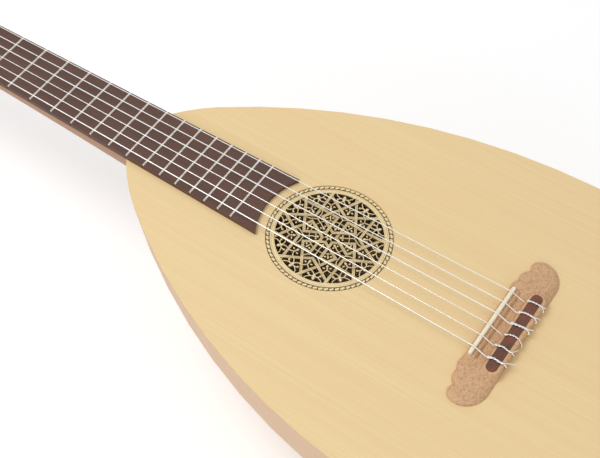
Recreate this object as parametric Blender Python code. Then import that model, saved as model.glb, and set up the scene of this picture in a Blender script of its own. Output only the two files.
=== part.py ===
# Six-string lute guitar: a ribbed bowl body, a spruce soundboard with a pierced rose,
# a slotted head bent back from the neck, and six worm-and-gear tuning machines.
#
# Local frame: the saddle line on top of the soundboard is the datum. X runs along the strings
# towards the head, Y to the bass side, Z out of the soundboard. The datum is lifted so that the
# bowl's lowest rib touches Z = 0, and shifted so that the whole length is centred on X = 0.

from math import asin, atan2, ceil, cos, degrees, hypot, pi, radians, sin, sqrt, tan

import bmesh
import bpy
from mathutils import Euler, Vector

# Fits
seat_gap = 0.0003
running_gap = 0.0003

# Strings and scale
scale_length = 0.650
body_fret = 12
fret_count = 19
saddle_spread = 0.0572
nut_spread = 0.0424
string_diameters = (0.00110, 0.00090, 0.00076, 0.00100, 0.00084, 0.00074)

# Soundboard outline, half of it, seen from above
half_width = 0.1606
widest_x = -0.008
hip_radius = 0.120
tail_x = -0.150
shoulder_length = 0.030
shoulder_rise = 0.03035
soundboard_thickness = 0.0025

# Bowl
bowl_depth = 0.1475
bowl_fullness = 2.3
rib_count = 9
rib_thickness = 0.0018
clasp_thickness = 0.0018
clasp_reach = 0.024
clasp_tip = 0.003
rib_tail_cut = 0.0015

# Rose, placed from the end of the fingerboard
rose_radius = 0.0505
rose_ring_width = 0.0036
rose_band_width = 0.0034
rose_flange = 0.0009
rose_thickness = 0.0022
outer_line = 0.0206
inner_line = 0.0203
core_line = 0.0047
lattice_width = 0.0022
lattice_elbow = 0.0005
layer_step = 0.00006
star_radius = 0.0034
star_waist = 0.55
spoke_reach = 0.0046
spoke_width = 0.0010
rose_sides = 48
circle_radius = 0.0159
circle_width = 0.0012
circle_sides = 16
# Half a leaf, from its stem on the ring to its tip: distance from the middle and half width
leaf_form = (
    (0.0440, 0.0007),
    (0.0402, 0.0010),
    (0.0384, 0.0021),
    (0.0366, 0.0006),
)

# Soundboard bars: the lower ones from the saddle, one each side of the rose, one by the neck
lower_bars = (-0.085, -0.045, 0.035)
rose_bar_space = 0.0120
neck_bar_space = 0.070
bar_width = 0.005
bar_height = 0.012
bar_end_clearance = 0.006

# Fingerboard, frets and nut
nut_width = 0.0475
joint_width = 0.0585
board_thickness = 0.0036
board_end_gap = 0.0080
board_end_spare = 0.012
last_fret_margin = 0.0159
fret_height = 0.0010
fret_crown = 0.0021
fret_tang = 0.0005
fret_tang_depth = 0.0014
fret_end_inset = 0.0005
nut_thickness = 0.005
nut_height = 0.0018
nut_notch_depth = 0.0006
nut_notch_flare = 0.0003
nut_fall = 0.8

# Neck and head
neck_depth_nut = 0.019
neck_fullness = 2.2
neck_taper = 0.002
heel_ease = 2.4
neck_sides = 16
neck_stations = 10
neck_block_length = 0.040
block_edge = 0.004
head_angle = radians(15)
head_thickness = 0.020
head_length = 0.168
head_width = 0.060
head_flare = 0.018
head_corner = 0.012
head_crown = 0.007
slot_width = 0.0140
slot_start = 0.0145
slot_end = 0.137
web_width = 0.0120

# Tuning machines
roller_places = (0.045, 0.080, 0.115)
roller_radius = 0.0050
roller_journal = 0.0034
roller_pin = 0.0026
roller_pin_depth = 0.004
gear_teeth = 14
gear_radius = 0.0065
tooth_height = 0.0007
gear_root_land = 0.00072
thread_root_land = 0.00068
tooth_tip_land = 0.00030
gear_width = 0.0032
gear_stub = 0.0008
worm_radius = 0.0026
worm_shaft = 0.0016
worm_length = 0.0088
thread_points = 10
thread_end_turn = 0.45
thread_end_share = 0.15
thread_sink = 0.0002
mesh_backlash = 0.00015
tip_clearance = 0.00035
plate_thickness = 0.0012
plate_height = 0.0150
plate_margin = 0.011
ear_thickness = 0.0016
ear_width = 0.0066
ear_proud = 0.0001
button_start = 0.0145
button_length = 0.0170
button_width = 0.0150
button_depth = 0.0085
button_sides = 10
collar_radius = 0.0030
collar_length = 0.0026
collar_step = 0.0004
shaft_proud = 0.0006
bore_sides = 12
# Shares of the button's length, width and depth at each section, from the collar to the end
button_form = (
    (0.29, 0.36, 0.42),
    (0.50, 0.49, 0.50),
    (0.74, 0.50, 0.50),
    (0.91, 0.42, 0.43),
    (1.00, 0.24, 0.26),
)

# Turns of string round the rollers: the first turn's distance from the head's middle depends on
# how far down the head the roller is
coil_entries = (0.0150, 0.0125, 0.0095)
coil_turns = 2.0
coil_points = 24
coil_space = 0.00045

# Bridge
saddle_length = 0.0690
saddle_thickness = 0.0030
saddle_height = 0.0100
saddle_slot_depth = 0.0035
saddle_round = 0.0012
bridge_block = 0.0812
bridge_front = 0.0030
bridge_back = -0.0262
bridge_land = 0.0068
bridge_channel = 0.0040
bridge_tie_height = 0.0076
bridge_wing = 0.0034
bridge_inset = 0.0002
bridge_edge = 0.0010
block_run = 0.0050
block_end = 0.35
block_front_taper = 0.80
land_back = -0.0040
channel_front = -0.0072
bridge_brow = 0.0024
# Scallops of a wing's front edge: front, start and end along the bridge, bulge, and fall
scallops = (
    (0.0030, 0.0335, 0.0468, 0.0018, 0.0006),
    (0.0022, 0.0469, 0.0586, 0.0007, 0.0033),
)
scallop_steps = 4
lobe_x = -0.0090
lobe_y = 0.0640
lobe_front = 0.0090
lobe_reach = 0.0077
lobe_start = radians(-38)
lobe_back_y = 0.0520
lobe_steps = 5
tie_front = -0.0126
inlay_width = 0.0088
inlay_length = 0.0780
inlay_thickness = 0.0009
inlay_margin = 0.0014
loop_slack = 0.0004
loop_spread = 0.0006
tie_hole_height = 0.0052
tie_hole_radius = 0.0012

# Values that follow
joint_x = scale_length * 2 ** (-body_fret / 12)
last_fret_x = scale_length * 2 ** (-fret_count / 12)
board_end_radius = rose_radius + board_end_gap
rose_x = last_fret_x - last_fret_margin - board_end_radius
bar_by_rose = rose_radius + rose_bar_space
bar_places = lower_bars + (rose_x - bar_by_rose, rose_x + bar_by_rose, joint_x - neck_bar_space)
shoulder_x = joint_x - shoulder_length
rim_z = -soundboard_thickness - seat_gap
board_top = seat_gap + board_thickness
nut_top = board_top + nut_height
nut_back = scale_length + nut_thickness
gear_pitch = 2 * pi * gear_radius / gear_teeth
roller_z = -head_thickness / 2
worm_offset = gear_radius + worm_radius + mesh_backlash
plate_inner = head_width / 2 + seat_gap
plate_outer = plate_inner + plate_thickness
gear_y = plate_outer + running_gap + worm_radius + tooth_height
string_count = len(string_diameters)


def clear_scene():
    for item in list(bpy.data.objects):
        bpy.data.objects.remove(item, do_unlink=True)


def finish(name, colour, roughness, metallic=0.0):
    material = bpy.data.materials.new(name)
    material.use_nodes = True
    shader = material.node_tree.nodes["Principled BSDF"]
    shader.inputs["Base Color"].default_value = (*colour, 1.0)
    shader.inputs["Roughness"].default_value = roughness
    shader.inputs["Metallic"].default_value = metallic
    return material


def new_object(name, mesh, material, parent):
    item = bpy.data.objects.new(name, mesh)
    bpy.context.collection.objects.link(item)
    item.parent = parent
    if not mesh.materials:
        mesh.materials.append(material)
    return item


def mesh_of(name, points, faces):
    mesh = bpy.data.meshes.new(name)
    mesh.from_pydata([tuple(p) for p in points], [], faces)
    shape = bmesh.new()
    shape.from_mesh(mesh)
    bmesh.ops.recalc_face_normals(shape, faces=shape.faces)
    shape.to_mesh(mesh)
    shape.free()
    return mesh


def round_off(mesh, angle=35):
    mesh.shade_smooth()
    mesh.set_sharp_from_angle(angle=radians(angle))
    return mesh


def loft(name, rings):
    # Closed rings of equal length, skinned in order and capped at both ends.
    count = len(rings[0])
    points = [p for ring in rings for p in ring]
    faces = [tuple(range(count)), tuple(range(len(points) - count, len(points)))]
    for r in range(len(rings) - 1):
        for i in range(count):
            a = r * count + i
            b = r * count + (i + 1) % count
            faces.append((a, b, b + count, a + count))
    return mesh_of(name, points, faces)


def prism(name, outline, low, high):
    # A flat outline in XY, drawn up along Z.
    return loft(name, [[(x, y, z) for x, y in outline] for z in (low, high)])


def arc(centre, radius, start, end, steps):
    return [
        (
            centre[0] + radius * cos(start + (end - start) * i / steps),
            centre[1] + radius * sin(start + (end - start) * i / steps),
        )
        for i in range(steps + 1)
    ]


def turned(name, profile, sides, axis="Z"):
    # Profile pairs of (radius, place along the axis); every radius is above zero.
    rings = []
    for radius, place in profile:
        ring = []
        for i in range(sides):
            turn = 2 * pi * i / sides
            across = radius * cos(turn)
            along = radius * sin(turn)
            ring.append((across, along, place) if axis == "Z" else (across, place, along))
        rings.append(ring)
    return loft(name, rings)


def box(name, low, high):
    outline = [(low[0], low[1]), (high[0], low[1]), (high[0], high[1]), (low[0], high[1])]
    return prism(name, outline, low[2], high[2])


def tool(name, mesh, parent, place=(0, 0, 0), turn=(0, 0, 0)):
    # A shape that only cuts or joins another one.
    item = bpy.data.objects.new(name, mesh)
    bpy.context.collection.objects.link(item)
    item.parent = parent
    item.location = place
    item.rotation_euler = turn
    item.hide_render = True
    item.display_type = "WIRE"
    return item


def combine(item, other, operation):
    step = item.modifiers.new(other.name, "BOOLEAN")
    step.operation = operation
    step.solver = "EXACT"
    step.object = other


def baked_mesh(item):
    # The mesh as its modifiers leave it, to be shared by the copies of a repeated piece.
    view = bpy.context.evaluated_depsgraph_get()
    mesh = bpy.data.meshes.new_from_object(item.evaluated_get(view))
    bpy.data.objects.remove(item, do_unlink=True)
    return mesh


# Outline of the body


def outline_arcs():
    # Tail, hip, flank and shoulder arcs, each tangent to the next, as (centre, radius, start
    # angle, end angle, steps).
    hip_y = half_width - hip_radius
    reach = -tail_x - hip_radius
    tail_centre = (widest_x**2 + hip_y**2 - reach**2) / (2 * (reach + widest_x))
    tail_radius = tail_centre - tail_x
    meet = atan2(hip_y, widest_x - tail_centre)
    run = shoulder_x - widest_x
    fall = half_width - joint_width / 2 - shoulder_rise
    flank_radius = (run**2 + fall**2) / (2 * fall)
    flank_y = half_width - flank_radius
    leave = pi / 2 - asin(run / flank_radius)
    normal = Vector((-cos(leave), -sin(leave)))
    start = Vector((widest_x + flank_radius * cos(leave), flank_y + flank_radius * sin(leave)))
    chord = Vector((joint_x, joint_width / 2)) - start
    shoulder_radius = chord.length_squared / (2 * chord.dot(normal))
    centre = start + normal * shoulder_radius
    end = atan2(joint_width / 2 - centre.y, joint_x - centre.x)
    return [
        ((tail_centre, 0.0), tail_radius, pi, meet, 8),
        ((widest_x, hip_y), hip_radius, meet, pi / 2, 5),
        ((widest_x, flank_y), flank_radius, pi / 2, leave, 9),
        ((centre.x, centre.y), shoulder_radius, leave, end, 3),
    ]


def outline(inset=0.0):
    # Pairs of (x, half width) from the tail's tip to the neck joint, moved inwards by inset.
    points = []
    for centre, radius, start, end, steps in outline_arcs():
        points += arc(centre, radius - inset, start, end, steps)[1 if points else 0 :]
    return points


def outline_between(low_x, high_x, inset):
    # The stretch of the outline between two places along X, ends included.
    points = outline(inset)
    stretch = []
    for (x, w), (next_x, next_w) in zip(points, points[1:]):
        for limit in (low_x, high_x):
            if x < limit < next_x:
                stretch.append((limit, w + (next_w - w) * (limit - x) / (next_x - x)))
        if low_x <= next_x <= high_x:
            stretch.append((next_x, next_w))
    return sorted(stretch)


def half_width_at(x, inset=0.0):
    for centre, radius, start, end, _ in outline_arcs():
        near = centre[0] + radius * cos(start)
        far = centre[0] + radius * cos(end)
        if near <= x <= far:
            return centre[1] + sqrt((radius - inset) ** 2 - (x - centre[0]) ** 2)
    return joint_width / 2 - inset


def bowl_section(inset, edges):
    # Points of one section of the bowl for a half width of 1: y out to the side, z down. The
    # deepest rib edge reaches the bowl's full depth.
    squash = (bowl_depth - inset) / (half_width - inset)
    deepest = rib_edge(rib_count // 2)[1]
    return [(y, -z / deepest * squash) for y, z in map(rib_edge, edges)]


def rib_edge(edge):
    turn = pi * edge / rib_count
    c = cos(turn)
    s = sin(turn)
    reach = (abs(c) ** bowl_fullness + abs(s) ** bowl_fullness) ** (-1 / bowl_fullness)
    return reach * c, reach * s


def bowl_point(x, w, unit):
    return Vector((x, w * unit[0], rim_z + w * unit[1]))


def soundboard(material, datum):
    half = outline()[1:]
    plan = [(tail_x, 0.0)] + half + [(x, -y) for x, y in reversed(half)]
    item = new_object("soundboard", prism("soundboard", plan, -soundboard_thickness, 0), material, datum)
    for n, x in enumerate(bar_places):
        inside = min(half_width_at(x - bar_width / 2), half_width_at(x + bar_width / 2))
        reach = inside - rib_thickness - bar_end_clearance
        low = (x - bar_width / 2, -reach, -soundboard_thickness - bar_height)
        high = (x + bar_width / 2, reach, -soundboard_thickness / 2)
        combine(item, tool(f"bar_{n}", box("bar", low, high), datum), "UNION")
    hole = rose_radius - rose_ring_width + seat_gap
    rebate = rose_radius + seat_gap
    deep = 2 * soundboard_thickness
    floor = -rose_flange - seat_gap
    profile = [(hole, -deep), (hole, floor), (rebate, floor), (rebate, soundboard_thickness)]
    cutter = turned("rose_seat", profile, rose_sides)
    combine(item, tool("rose_seat", cutter, datum, (rose_x, 0, 0)), "DIFFERENCE")
    return item


def strip(path, width):
    # Plan of a band of even width along a path, with mitred corners.
    near = []
    far = []
    for i, spot in enumerate(path):
        ahead = (path[min(i + 1, len(path) - 1)] - path[min(i, len(path) - 2)]).normalized()
        behind = (path[max(i, 1)] - path[max(i - 1, 0)]).normalized()
        along = (ahead + behind).normalized()
        half = width / 2 / along.dot(ahead)
        normal = Vector((-along.y, along.x)) * half
        near.append(spot + normal)
        far.append(spot - normal)
    return near + far[::-1]


def mirrored(points):
    # Images of some points in the line at 30 degrees.
    turn = pi / 3
    return [Vector((x * cos(turn) + y * sin(turn), x * sin(turn) - y * cos(turn))) for x, y in points]


def lattice_piece(plan, angle, layer):
    # Pieces of different layers differ a little in height, as interlaced bands do.
    turned_plan = [(x * cos(angle) - y * sin(angle), x * sin(angle) + y * cos(angle)) for x, y in plan]
    inset = layer_step * (layer + 1)
    return prism("lattice", turned_plan, -rose_thickness + inset, -inset)


def hoop(name, profile, sides):
    # Ring with an open middle, from the profile of its section: pairs of (radius, height).
    points = []
    faces = []
    count = len(profile)
    for i in range(sides):
        turn = 2 * pi * i / sides
        points += [(r * cos(turn), r * sin(turn), z) for r, z in profile]
        a = i * count
        b = (i + 1) % sides * count
        for k in range(count):
            m = (k + 1) % count
            faces.append((a + k, a + m, b + m, b + k))
    return mesh_of(name, points, faces)


def rose(material, datum):
    # Flanged ring; six V-shaped bands with their points inwards; six long bands that run in from
    # the ring, turn down to the middle and come back; twelve leaves on the ring; a thin circle that
    # passes under the bands; a star.
    inner = rose_radius - rose_ring_width - rose_band_width
    outer = rose_radius - rose_ring_width
    profile = [(inner, -rose_thickness), (outer, -rose_thickness), (outer, -rose_flange)]
    profile += [(rose_radius, -rose_flange), (rose_radius, 0), (inner, 0)]
    item = new_object("rose", hoop("rose", profile, rose_sides), material, datum)
    item.location = (rose_x, 0, 0)
    reach = outer - rose_band_width / 2
    mirror_rise = tan(pi / 6)
    outer_path = [
        Vector((outer_line, sqrt(reach**2 - outer_line**2))),
        Vector((outer_line, outer_line * mirror_rise)),
    ]
    outer_path += mirrored(outer_path[:1])
    inner_path = [
        Vector((sqrt(reach**2 - inner_line**2), inner_line)),
        Vector((core_line, inner_line)),
        Vector((core_line, core_line * mirror_rise - lattice_elbow)),
    ]
    outer_plan = strip(outer_path, lattice_width)
    inner_plans = [strip(path, lattice_width) for path in (inner_path, mirrored(inner_path))]
    spoke_plan = strip([Vector((-spoke_reach, 0)), Vector((spoke_reach, 0))], spoke_width)
    leaf_plan = list(leaf_form) + [(x, -y) for x, y in reversed(leaf_form)]
    parts = []
    for n in range(6):
        for m, plan in enumerate(inner_plans):
            parts.append(lattice_piece(plan, n * pi / 3, n % 3 + 3 * m))
        parts.append(lattice_piece(outer_plan, n * pi / 3, 6 + n % 3))
    for n in range(12):
        parts.append(lattice_piece(leaf_plan, (n + 0.5) * pi / 6, 9))
    for n in range(3):
        parts.append(lattice_piece(spoke_plan, (n + 0.5) * pi / 3, 10 + n))
    low = circle_radius - circle_width / 2
    high = circle_radius + circle_width / 2
    under = -rose_thickness / 2
    floor = -rose_thickness + layer_step / 2
    section = [(low, floor), (high, floor), (high, under), (low, under)]
    parts.append(hoop("circle", section, circle_sides))
    star = []
    for n in range(12):
        tip = star_radius if n % 2 == 0 else star_radius * star_waist
        turn = (n + 1) * pi / 6
        star.append((tip * cos(turn), tip * sin(turn)))
    parts.append(prism("star", star, -rose_thickness, 0))
    for n, mesh in enumerate(parts):
        combine(item, tool(f"lattice_{n}", mesh, datum, (rose_x, 0, 0)), "UNION")
    return item


def ribs(materials, datum):
    # Each rib is flat across and bent lengthwise, and meets its neighbours on mitred edges.
    outer = outline()
    inner = outline(rib_thickness)
    stations = [n for n, (x, _) in enumerate(outer) if x >= tail_x + rib_tail_cut]
    made = []
    for n in range(rib_count):
        out_a, out_b = bowl_section(0.0, (n, n + 1))
        in_a, in_b = bowl_section(rib_thickness, (n, n + 1))
        rings = []
        for j in stations:
            corners = [
                bowl_point(*outer[j], out_a),
                bowl_point(*outer[j], out_b),
                bowl_point(*inner[j], in_b),
                bowl_point(*inner[j], in_a),
            ]
            across = (corners[1] - corners[0]).normalized() * seat_gap / 2
            start = across if n > 0 else Vector()
            end = across if n < rib_count - 1 else Vector()
            rings.append([corners[0] + start, corners[1] - end, corners[2] - end, corners[3] + start])
        name = f"rib_{n + 1}"
        made.append(new_object(name, loft(name, rings), materials[n % len(materials)], datum))
    return made


def end_clasp(material, datum):
    # Thin shell laid over the ribs' ends, from rim to rim round the tail.
    low = -seat_gap
    high = low - clasp_thickness
    limit = tail_x + clasp_reach
    near = [p for p in outline(low) if p[0] <= limit]
    far = outline(high)[: len(near)]
    near[0] = (near[0][0], clasp_tip)
    far[0] = (far[0][0], clasp_tip)
    edges = [n / 2 for n in range(2 * rib_count + 1)]

    def spread(inset, points):
        # Points between two rib edges lie on the flat between them.
        whole = bowl_section(inset, range(rib_count + 1))
        rings = []
        for x, w in points:
            ring = []
            for edge in edges:
                a = whole[int(edge)]
                b = whole[min(int(edge) + 1, rib_count)]
                mix = edge - int(edge)
                ring.append(bowl_point(x, w, (a[0] + (b[0] - a[0]) * mix, a[1] + (b[1] - a[1]) * mix)))
            rings.append(ring)
        return rings

    under = spread(low, near)
    over = spread(high, far)
    count = len(edges)
    rows = len(near)
    points = [p for ring in over + under for p in ring]
    base = rows * count
    faces = [tuple(range(count)), tuple(range(base, base + count))]
    for r in range(rows - 1):
        for i in range(count - 1):
            a = r * count + i
            faces.append((a, a + 1, a + 1 + count, a + count))
            faces.append((base + a, base + a + 1, base + a + 1 + count, base + a + count))
        for i in (0, count - 1):
            a = r * count + i
            faces.append((a, a + count, base + a + count, base + a))
    faces.append((0, count - 1, base + count - 1, base))
    last = (rows - 1) * count
    for i in range(count - 1):
        faces.append((last + i, last + i + 1, base + last + i + 1, base + last + i))
    return new_object("end_clasp", mesh_of("end_clasp", points, faces), material, datum)


def block(name, low_x, high_x, material, datum):
    # Solid block that fills the bowl between two stations, flat on top under the soundboard.
    inset = rib_thickness + seat_gap
    unit = bowl_section(inset, range(rib_count + 1))
    places = [p for p in outline_between(low_x, high_x, inset) if p[1] > block_edge]
    rings = [[bowl_point(x, w, u) for u in unit] for x, w in places]
    return new_object(name, loft(name, rings), material, datum)


def board_half(x):
    slope = (joint_width - nut_width) / 2 / (scale_length - joint_x)
    return nut_width / 2 + (scale_length - x) * slope


def fret_x(n):
    return scale_length * 2 ** (-n / 12)


def fingerboard(material, datum):
    # Side profile with a slot for each fret tang, spread to the tapering width.
    slot = fret_tang / 2 + seat_gap
    slot_floor = board_top - fret_tang_depth - seat_gap
    end_x = rose_x + board_end_radius - board_end_spare
    top = [(end_x, board_top)]
    for n in range(fret_count, 0, -1):
        x = fret_x(n)
        top += [(x - slot, board_top), (x - slot, slot_floor)]
        top += [(x + slot, slot_floor), (x + slot, board_top)]
    top.append((scale_length, board_top))
    profile = top + [(scale_length, seat_gap), (end_x, seat_gap)]
    rings = [[(x, side * board_half(x), z) for x, z in profile] for side in (-1, 1)]
    item = new_object("fingerboard", loft("fingerboard", rings), material, datum)
    above = 2 * board_top
    cutter = turned("board_end", [(board_end_radius, -board_top), (board_end_radius, above)], 96)
    combine(item, tool("board_end", cutter, datum, (rose_x, 0, 0)), "DIFFERENCE")
    return item


def fret(n, material, datum):
    x = fret_x(n)
    low = board_top + seat_gap / 3
    crown = []
    for i in range(5):
        turn = pi * i / 4
        crown.append((fret_crown / 2 * cos(turn), low + fret_height * abs(sin(turn)) ** 0.8))
    tang = [(-fret_tang / 2, low), (-fret_tang / 2, board_top - fret_tang_depth)]
    tang += [(-a, b) for a, b in reversed(tang)]
    profile = crown + tang
    rings = [
        [(x + a, side * (board_half(x + a) - fret_end_inset), z) for a, z in profile]
        for side in (-1, 1)
    ]
    name = f"fret_{n:02d}"
    return new_object(name, round_off(loft(name, rings)), material, datum)


def string_place(n, spread):
    return spread / 2 - spread * n / (string_count - 1)


def nut(material, datum):
    # A strip across the neck with one notch for each string, sloping back to the head.
    half = nut_width / 2
    floor = nut_top - nut_notch_depth
    top = [(half, seat_gap), (half, nut_top)]
    for n in range(string_count):
        y = string_place(n, nut_spread)
        wide = string_diameters[n] / 2 + seat_gap
        brim = wide + nut_notch_flare
        top += [(y + brim, nut_top), (y + wide, floor), (y - wide, floor), (y - brim, nut_top)]
    top += [(-half, nut_top), (-half, seat_gap)]
    front = scale_length + seat_gap
    back = nut_back - seat_gap
    fall = (back - front) * tan(head_angle) * nut_fall
    rings = [
        [(front, y, z) for y, z in top],
        [(back, y, z - fall if z > seat_gap else z) for y, z in top],
    ]
    return new_object("nut", loft("nut", rings), material, datum)


def neck_ring(x, half, depth):
    ring = []
    for i in range(neck_sides + 1):
        turn = pi * i / neck_sides
        c = cos(turn)
        s = sin(turn)
        reach = (abs(c) ** neck_fullness + abs(s) ** neck_fullness) ** (-1 / neck_fullness)
        ring.append((x, half * reach * c, -depth * reach * s))
    return ring


def neck_blank(name):
    # Half-round shaft with a flat top, deepest where it meets the bowl.
    depth_joint = joint_width / 2 * bowl_depth / half_width - rim_z
    start = joint_x + seat_gap
    rings = []
    for i in range(neck_stations + 1):
        t = i / neck_stations
        x = start + (nut_back - start) * t
        ease = (1 - t) ** heel_ease
        depth = neck_depth_nut + (depth_joint - neck_depth_nut) * ease + neck_taper * (1 - t)
        rings.append(neck_ring(x, board_half(x), depth))
    return round_off(loft(name, rings), 50)


def head_outline():
    half = head_width / 2
    root = nut_width / 2
    side = []
    for i in range(5):
        t = i / 4
        side.append((head_flare * t, root + (half - root) * (3 - 2 * t) * t * t))
    turn = head_length - head_crown - head_corner
    side.append((turn, half))
    corner = arc((turn, half - head_corner), head_corner, pi / 2, pi / 8, 5)[1:]
    low, out = corner[-1]
    crest = []
    for i in range(1, 4):
        turn = pi / 2 * i / 4
        crest.append((low + (head_length - low) * sin(turn), out * cos(turn)))
    right = side + corner + crest
    return right + [(head_length, 0.0)] + [(x, -y) for x, y in reversed(right)]


def slot_outline(y):
    r = slot_width / 2
    first = arc((slot_start + r, y), r, pi / 2, 3 * pi / 2, 6)
    second = arc((slot_end - r, y), r, -pi / 2, pi / 2, 6)
    return first + second


def slot_y(side):
    return side * (web_width + slot_width) / 2


def neck_and_head(material, datum, head_datum):
    # The head piece is scarfed under the end of the neck, on the plane of its own back.
    reach = head_length
    behind = scale_length - joint_x + reach
    top = -head_thickness - seat_gap / 2
    above = box("above", (-reach, -head_width, top), (reach, head_width, head_width))
    top = -head_thickness + seat_gap / 2
    below = box("below", (-behind, -head_width, -behind / 2), (reach, head_width, top))
    neck = new_object("neck", neck_blank("neck"), material, datum)
    combine(neck, tool("scarf_top", above, head_datum), "DIFFERENCE")
    slab = prism("headstock", head_outline(), -head_thickness, 0)
    head = new_object("headstock", slab, material, head_datum)
    heel = tool("head_heel", neck_blank("head_heel"), datum)
    combine(heel, tool("scarf_under", below, head_datum), "DIFFERENCE")
    combine(head, heel, "UNION")
    for side in (1, -1):
        y = slot_y(side)
        tag = "bass" if side > 0 else "treble"
        cutter = prism("slot", slot_outline(y), -2 * head_thickness, head_thickness)
        combine(head, tool(f"slot_{tag}", cutter, head_datum), "DIFFERENCE")
        middle = abs(y)
        pin_end = middle - slot_width / 2 - roller_pin_depth - running_gap
        pin_hole = roller_pin + running_gap
        journal_hole = roller_journal + running_gap
        bores = {
            "pin_hole": [(pin_hole, pin_end), (pin_hole, middle)],
            "journal_hole": [(journal_hole, middle), (journal_hole, head_width)],
        }
        turn = (0, 0, 0 if side > 0 else pi)
        for n, u in enumerate(roller_places):
            for kind, profile in bores.items():
                cutter = turned(kind, profile, bore_sides, "Y")
                bore = tool(f"{kind}_{tag}_{n}", cutter, head_datum, (u, 0, roller_z), turn)
                combine(head, bore, "DIFFERENCE")
    return neck, head


# Tuning machines


def gear_profile():
    # Root and tip points of every tooth, as (radius, angle).
    root = worm_offset - worm_radius - tooth_height - tip_clearance
    tip = gear_radius + tooth_height
    low_half = gear_root_land / root
    tip_half = tooth_tip_land / tip
    points = []
    for n in range(gear_teeth):
        middle = 2 * pi * n / gear_teeth
        points += [(root, middle - low_half), (tip, middle - tip_half)]
        points += [(tip, middle + tip_half), (root, middle + low_half)]
    return points


def roller_mesh(side, material):
    # Pin, barrel, journal and worm gear, along Y. The origin is on the axis at the head's middle.
    y = abs(slot_y(side))
    inner = y - slot_width / 2
    outer = y + slot_width / 2
    end = gear_y + gear_width / 2 + gear_stub
    profile = [
        (roller_pin, inner - roller_pin_depth),
        (roller_pin, inner + running_gap),
        (roller_radius, inner + running_gap),
        (roller_radius, outer - running_gap),
        (roller_journal, outer - running_gap),
        (roller_journal, gear_y),
        (roller_pin, gear_y),
        (roller_pin, end),
    ]
    item = tool("roller", turned("roller", [(r, side * p) for r, p in profile], bore_sides, "Y"), None)
    lean = gear_pitch / (2 * pi * worm_radius) / gear_radius
    rings = []
    for half in (-1, 1):
        place = half * gear_width / 2
        twist = lean * place
        ring = []
        for r, a in gear_profile():
            turn = a + twist
            ring.append((r * cos(turn), side * gear_y + place, -r * sin(turn)))
        rings.append(ring)
    gear = tool("gear", loft("gear", rings), None)
    combine(item, gear, "UNION")
    mesh = baked_mesh(item)
    bpy.data.objects.remove(gear, do_unlink=True)
    mesh.materials.clear()
    mesh.materials.append(material)
    return round_off(mesh)


def knob_mesh(material):
    # Worm shaft and button in one turned form, with the worm's thread wound round it. Along Z,
    # with the button downwards and the origin on the shaft at the gear's height.
    ear_top = plate_height / 2 + shaft_proud
    collar = -button_start
    sections = [
        (ear_top, worm_shaft, worm_shaft),
        (collar, worm_shaft, worm_shaft),
        (collar - collar_step, collar_radius, collar_radius),
        (collar - collar_length, collar_radius, collar_radius),
    ]
    for along, across, deep in button_form:
        sections.append((collar - button_length * along, button_width * across, button_depth * deep))
    rings = []
    for z, across, deep in sections:
        ring = []
        for i in range(button_sides):
            turn = 2 * pi * i / button_sides
            ring.append((across * cos(turn), deep * sin(turn), z))
        rings.append(ring)
    item = tool("knob", loft("knob", rings), None)
    sunk = worm_shaft - thread_sink
    tip = worm_radius + tooth_height
    turns = worm_length / gear_pitch - thread_end_turn
    steps = ceil(turns * thread_points)
    ridge = []
    for i in range(steps + 1):
        turn = 2 * pi * (i - steps / 2) / thread_points
        middle = gear_pitch * turn / (2 * pi) + gear_pitch / 2
        fade = min(1.0, i / 3 + thread_end_share, (steps - i) / 3 + thread_end_share)
        crest = worm_shaft + (tip - worm_shaft) * fade
        ring = []
        for r, z in (
            (sunk, middle - thread_root_land),
            (crest, middle - tooth_tip_land),
            (crest, middle + tooth_tip_land),
            (sunk, middle + thread_root_land),
        ):
            ring.append((r * cos(pi + turn), r * sin(pi + turn), z))
        ridge.append(ring)
    thread = tool("thread", loft("thread", ridge), None)
    combine(item, thread, "UNION")
    mesh = baked_mesh(item)
    bpy.data.objects.remove(thread, do_unlink=True)
    mesh.materials.clear()
    mesh.materials.append(material)
    return round_off(mesh)


def tuner_plate(side, material, head_datum):
    # Long side plate with a pair of drilled ears for each worm shaft.
    start = roller_places[0] - plate_margin
    end = roller_places[-1] + worm_offset + plate_margin
    low = roller_z - plate_height / 2
    name = "tuner_plate_bass" if side > 0 else "tuner_plate_treble"
    near, far = sorted((side * plate_inner, side * plate_outer))
    plate = box(name, (start, near, low), (end, far, low + plate_height))
    item = new_object(name, plate, material, head_datum)
    turn = (0, 0, 0 if side > 0 else pi)
    for n, u in enumerate(roller_places):
        for level in (-1, 1):
            middle = roller_z + level * (plate_height / 2 - ear_thickness / 2 + ear_proud)
            a, b = sorted((side * (plate_inner + plate_thickness / 2), side * (gear_y + ear_width / 2)))
            centre = u + worm_offset
            ear = box(
                "ear",
                (centre - ear_width / 2, a, middle - ear_thickness / 2),
                (centre + ear_width / 2, b, middle + ear_thickness / 2),
            )
            combine(item, tool(f"ear_{name}_{n}_{level}", ear, head_datum), "UNION")
        r = worm_shaft + running_gap
        bore = turned("bore", [(r, -plate_height), (r, plate_height)], bore_sides)
        place = (u + worm_offset, side * gear_y, roller_z)
        combine(item, tool(f"bore_{name}_{n}", bore, head_datum, place), "DIFFERENCE")
        r = roller_journal + running_gap
        eye = turned("eye", [(r, plate_inner / 2), (r, 2 * plate_outer)], bore_sides, "Y")
        combine(item, tool(f"eye_{name}_{n}", eye, head_datum, (u, 0, roller_z), turn), "DIFFERENCE")
    return item


# Bridge


def wing_front():
    # Front edge of one wing: scallops that step back towards the end lobe.
    points = []
    for front, start, end, bulge, fall in scallops:
        for i in range(scallop_steps + 1):
            t = i / scallop_steps
            x = front + bulge * sin(pi * t) - fall * t**3
            points.append((x, start + (end - start) * t))
    return points


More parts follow.
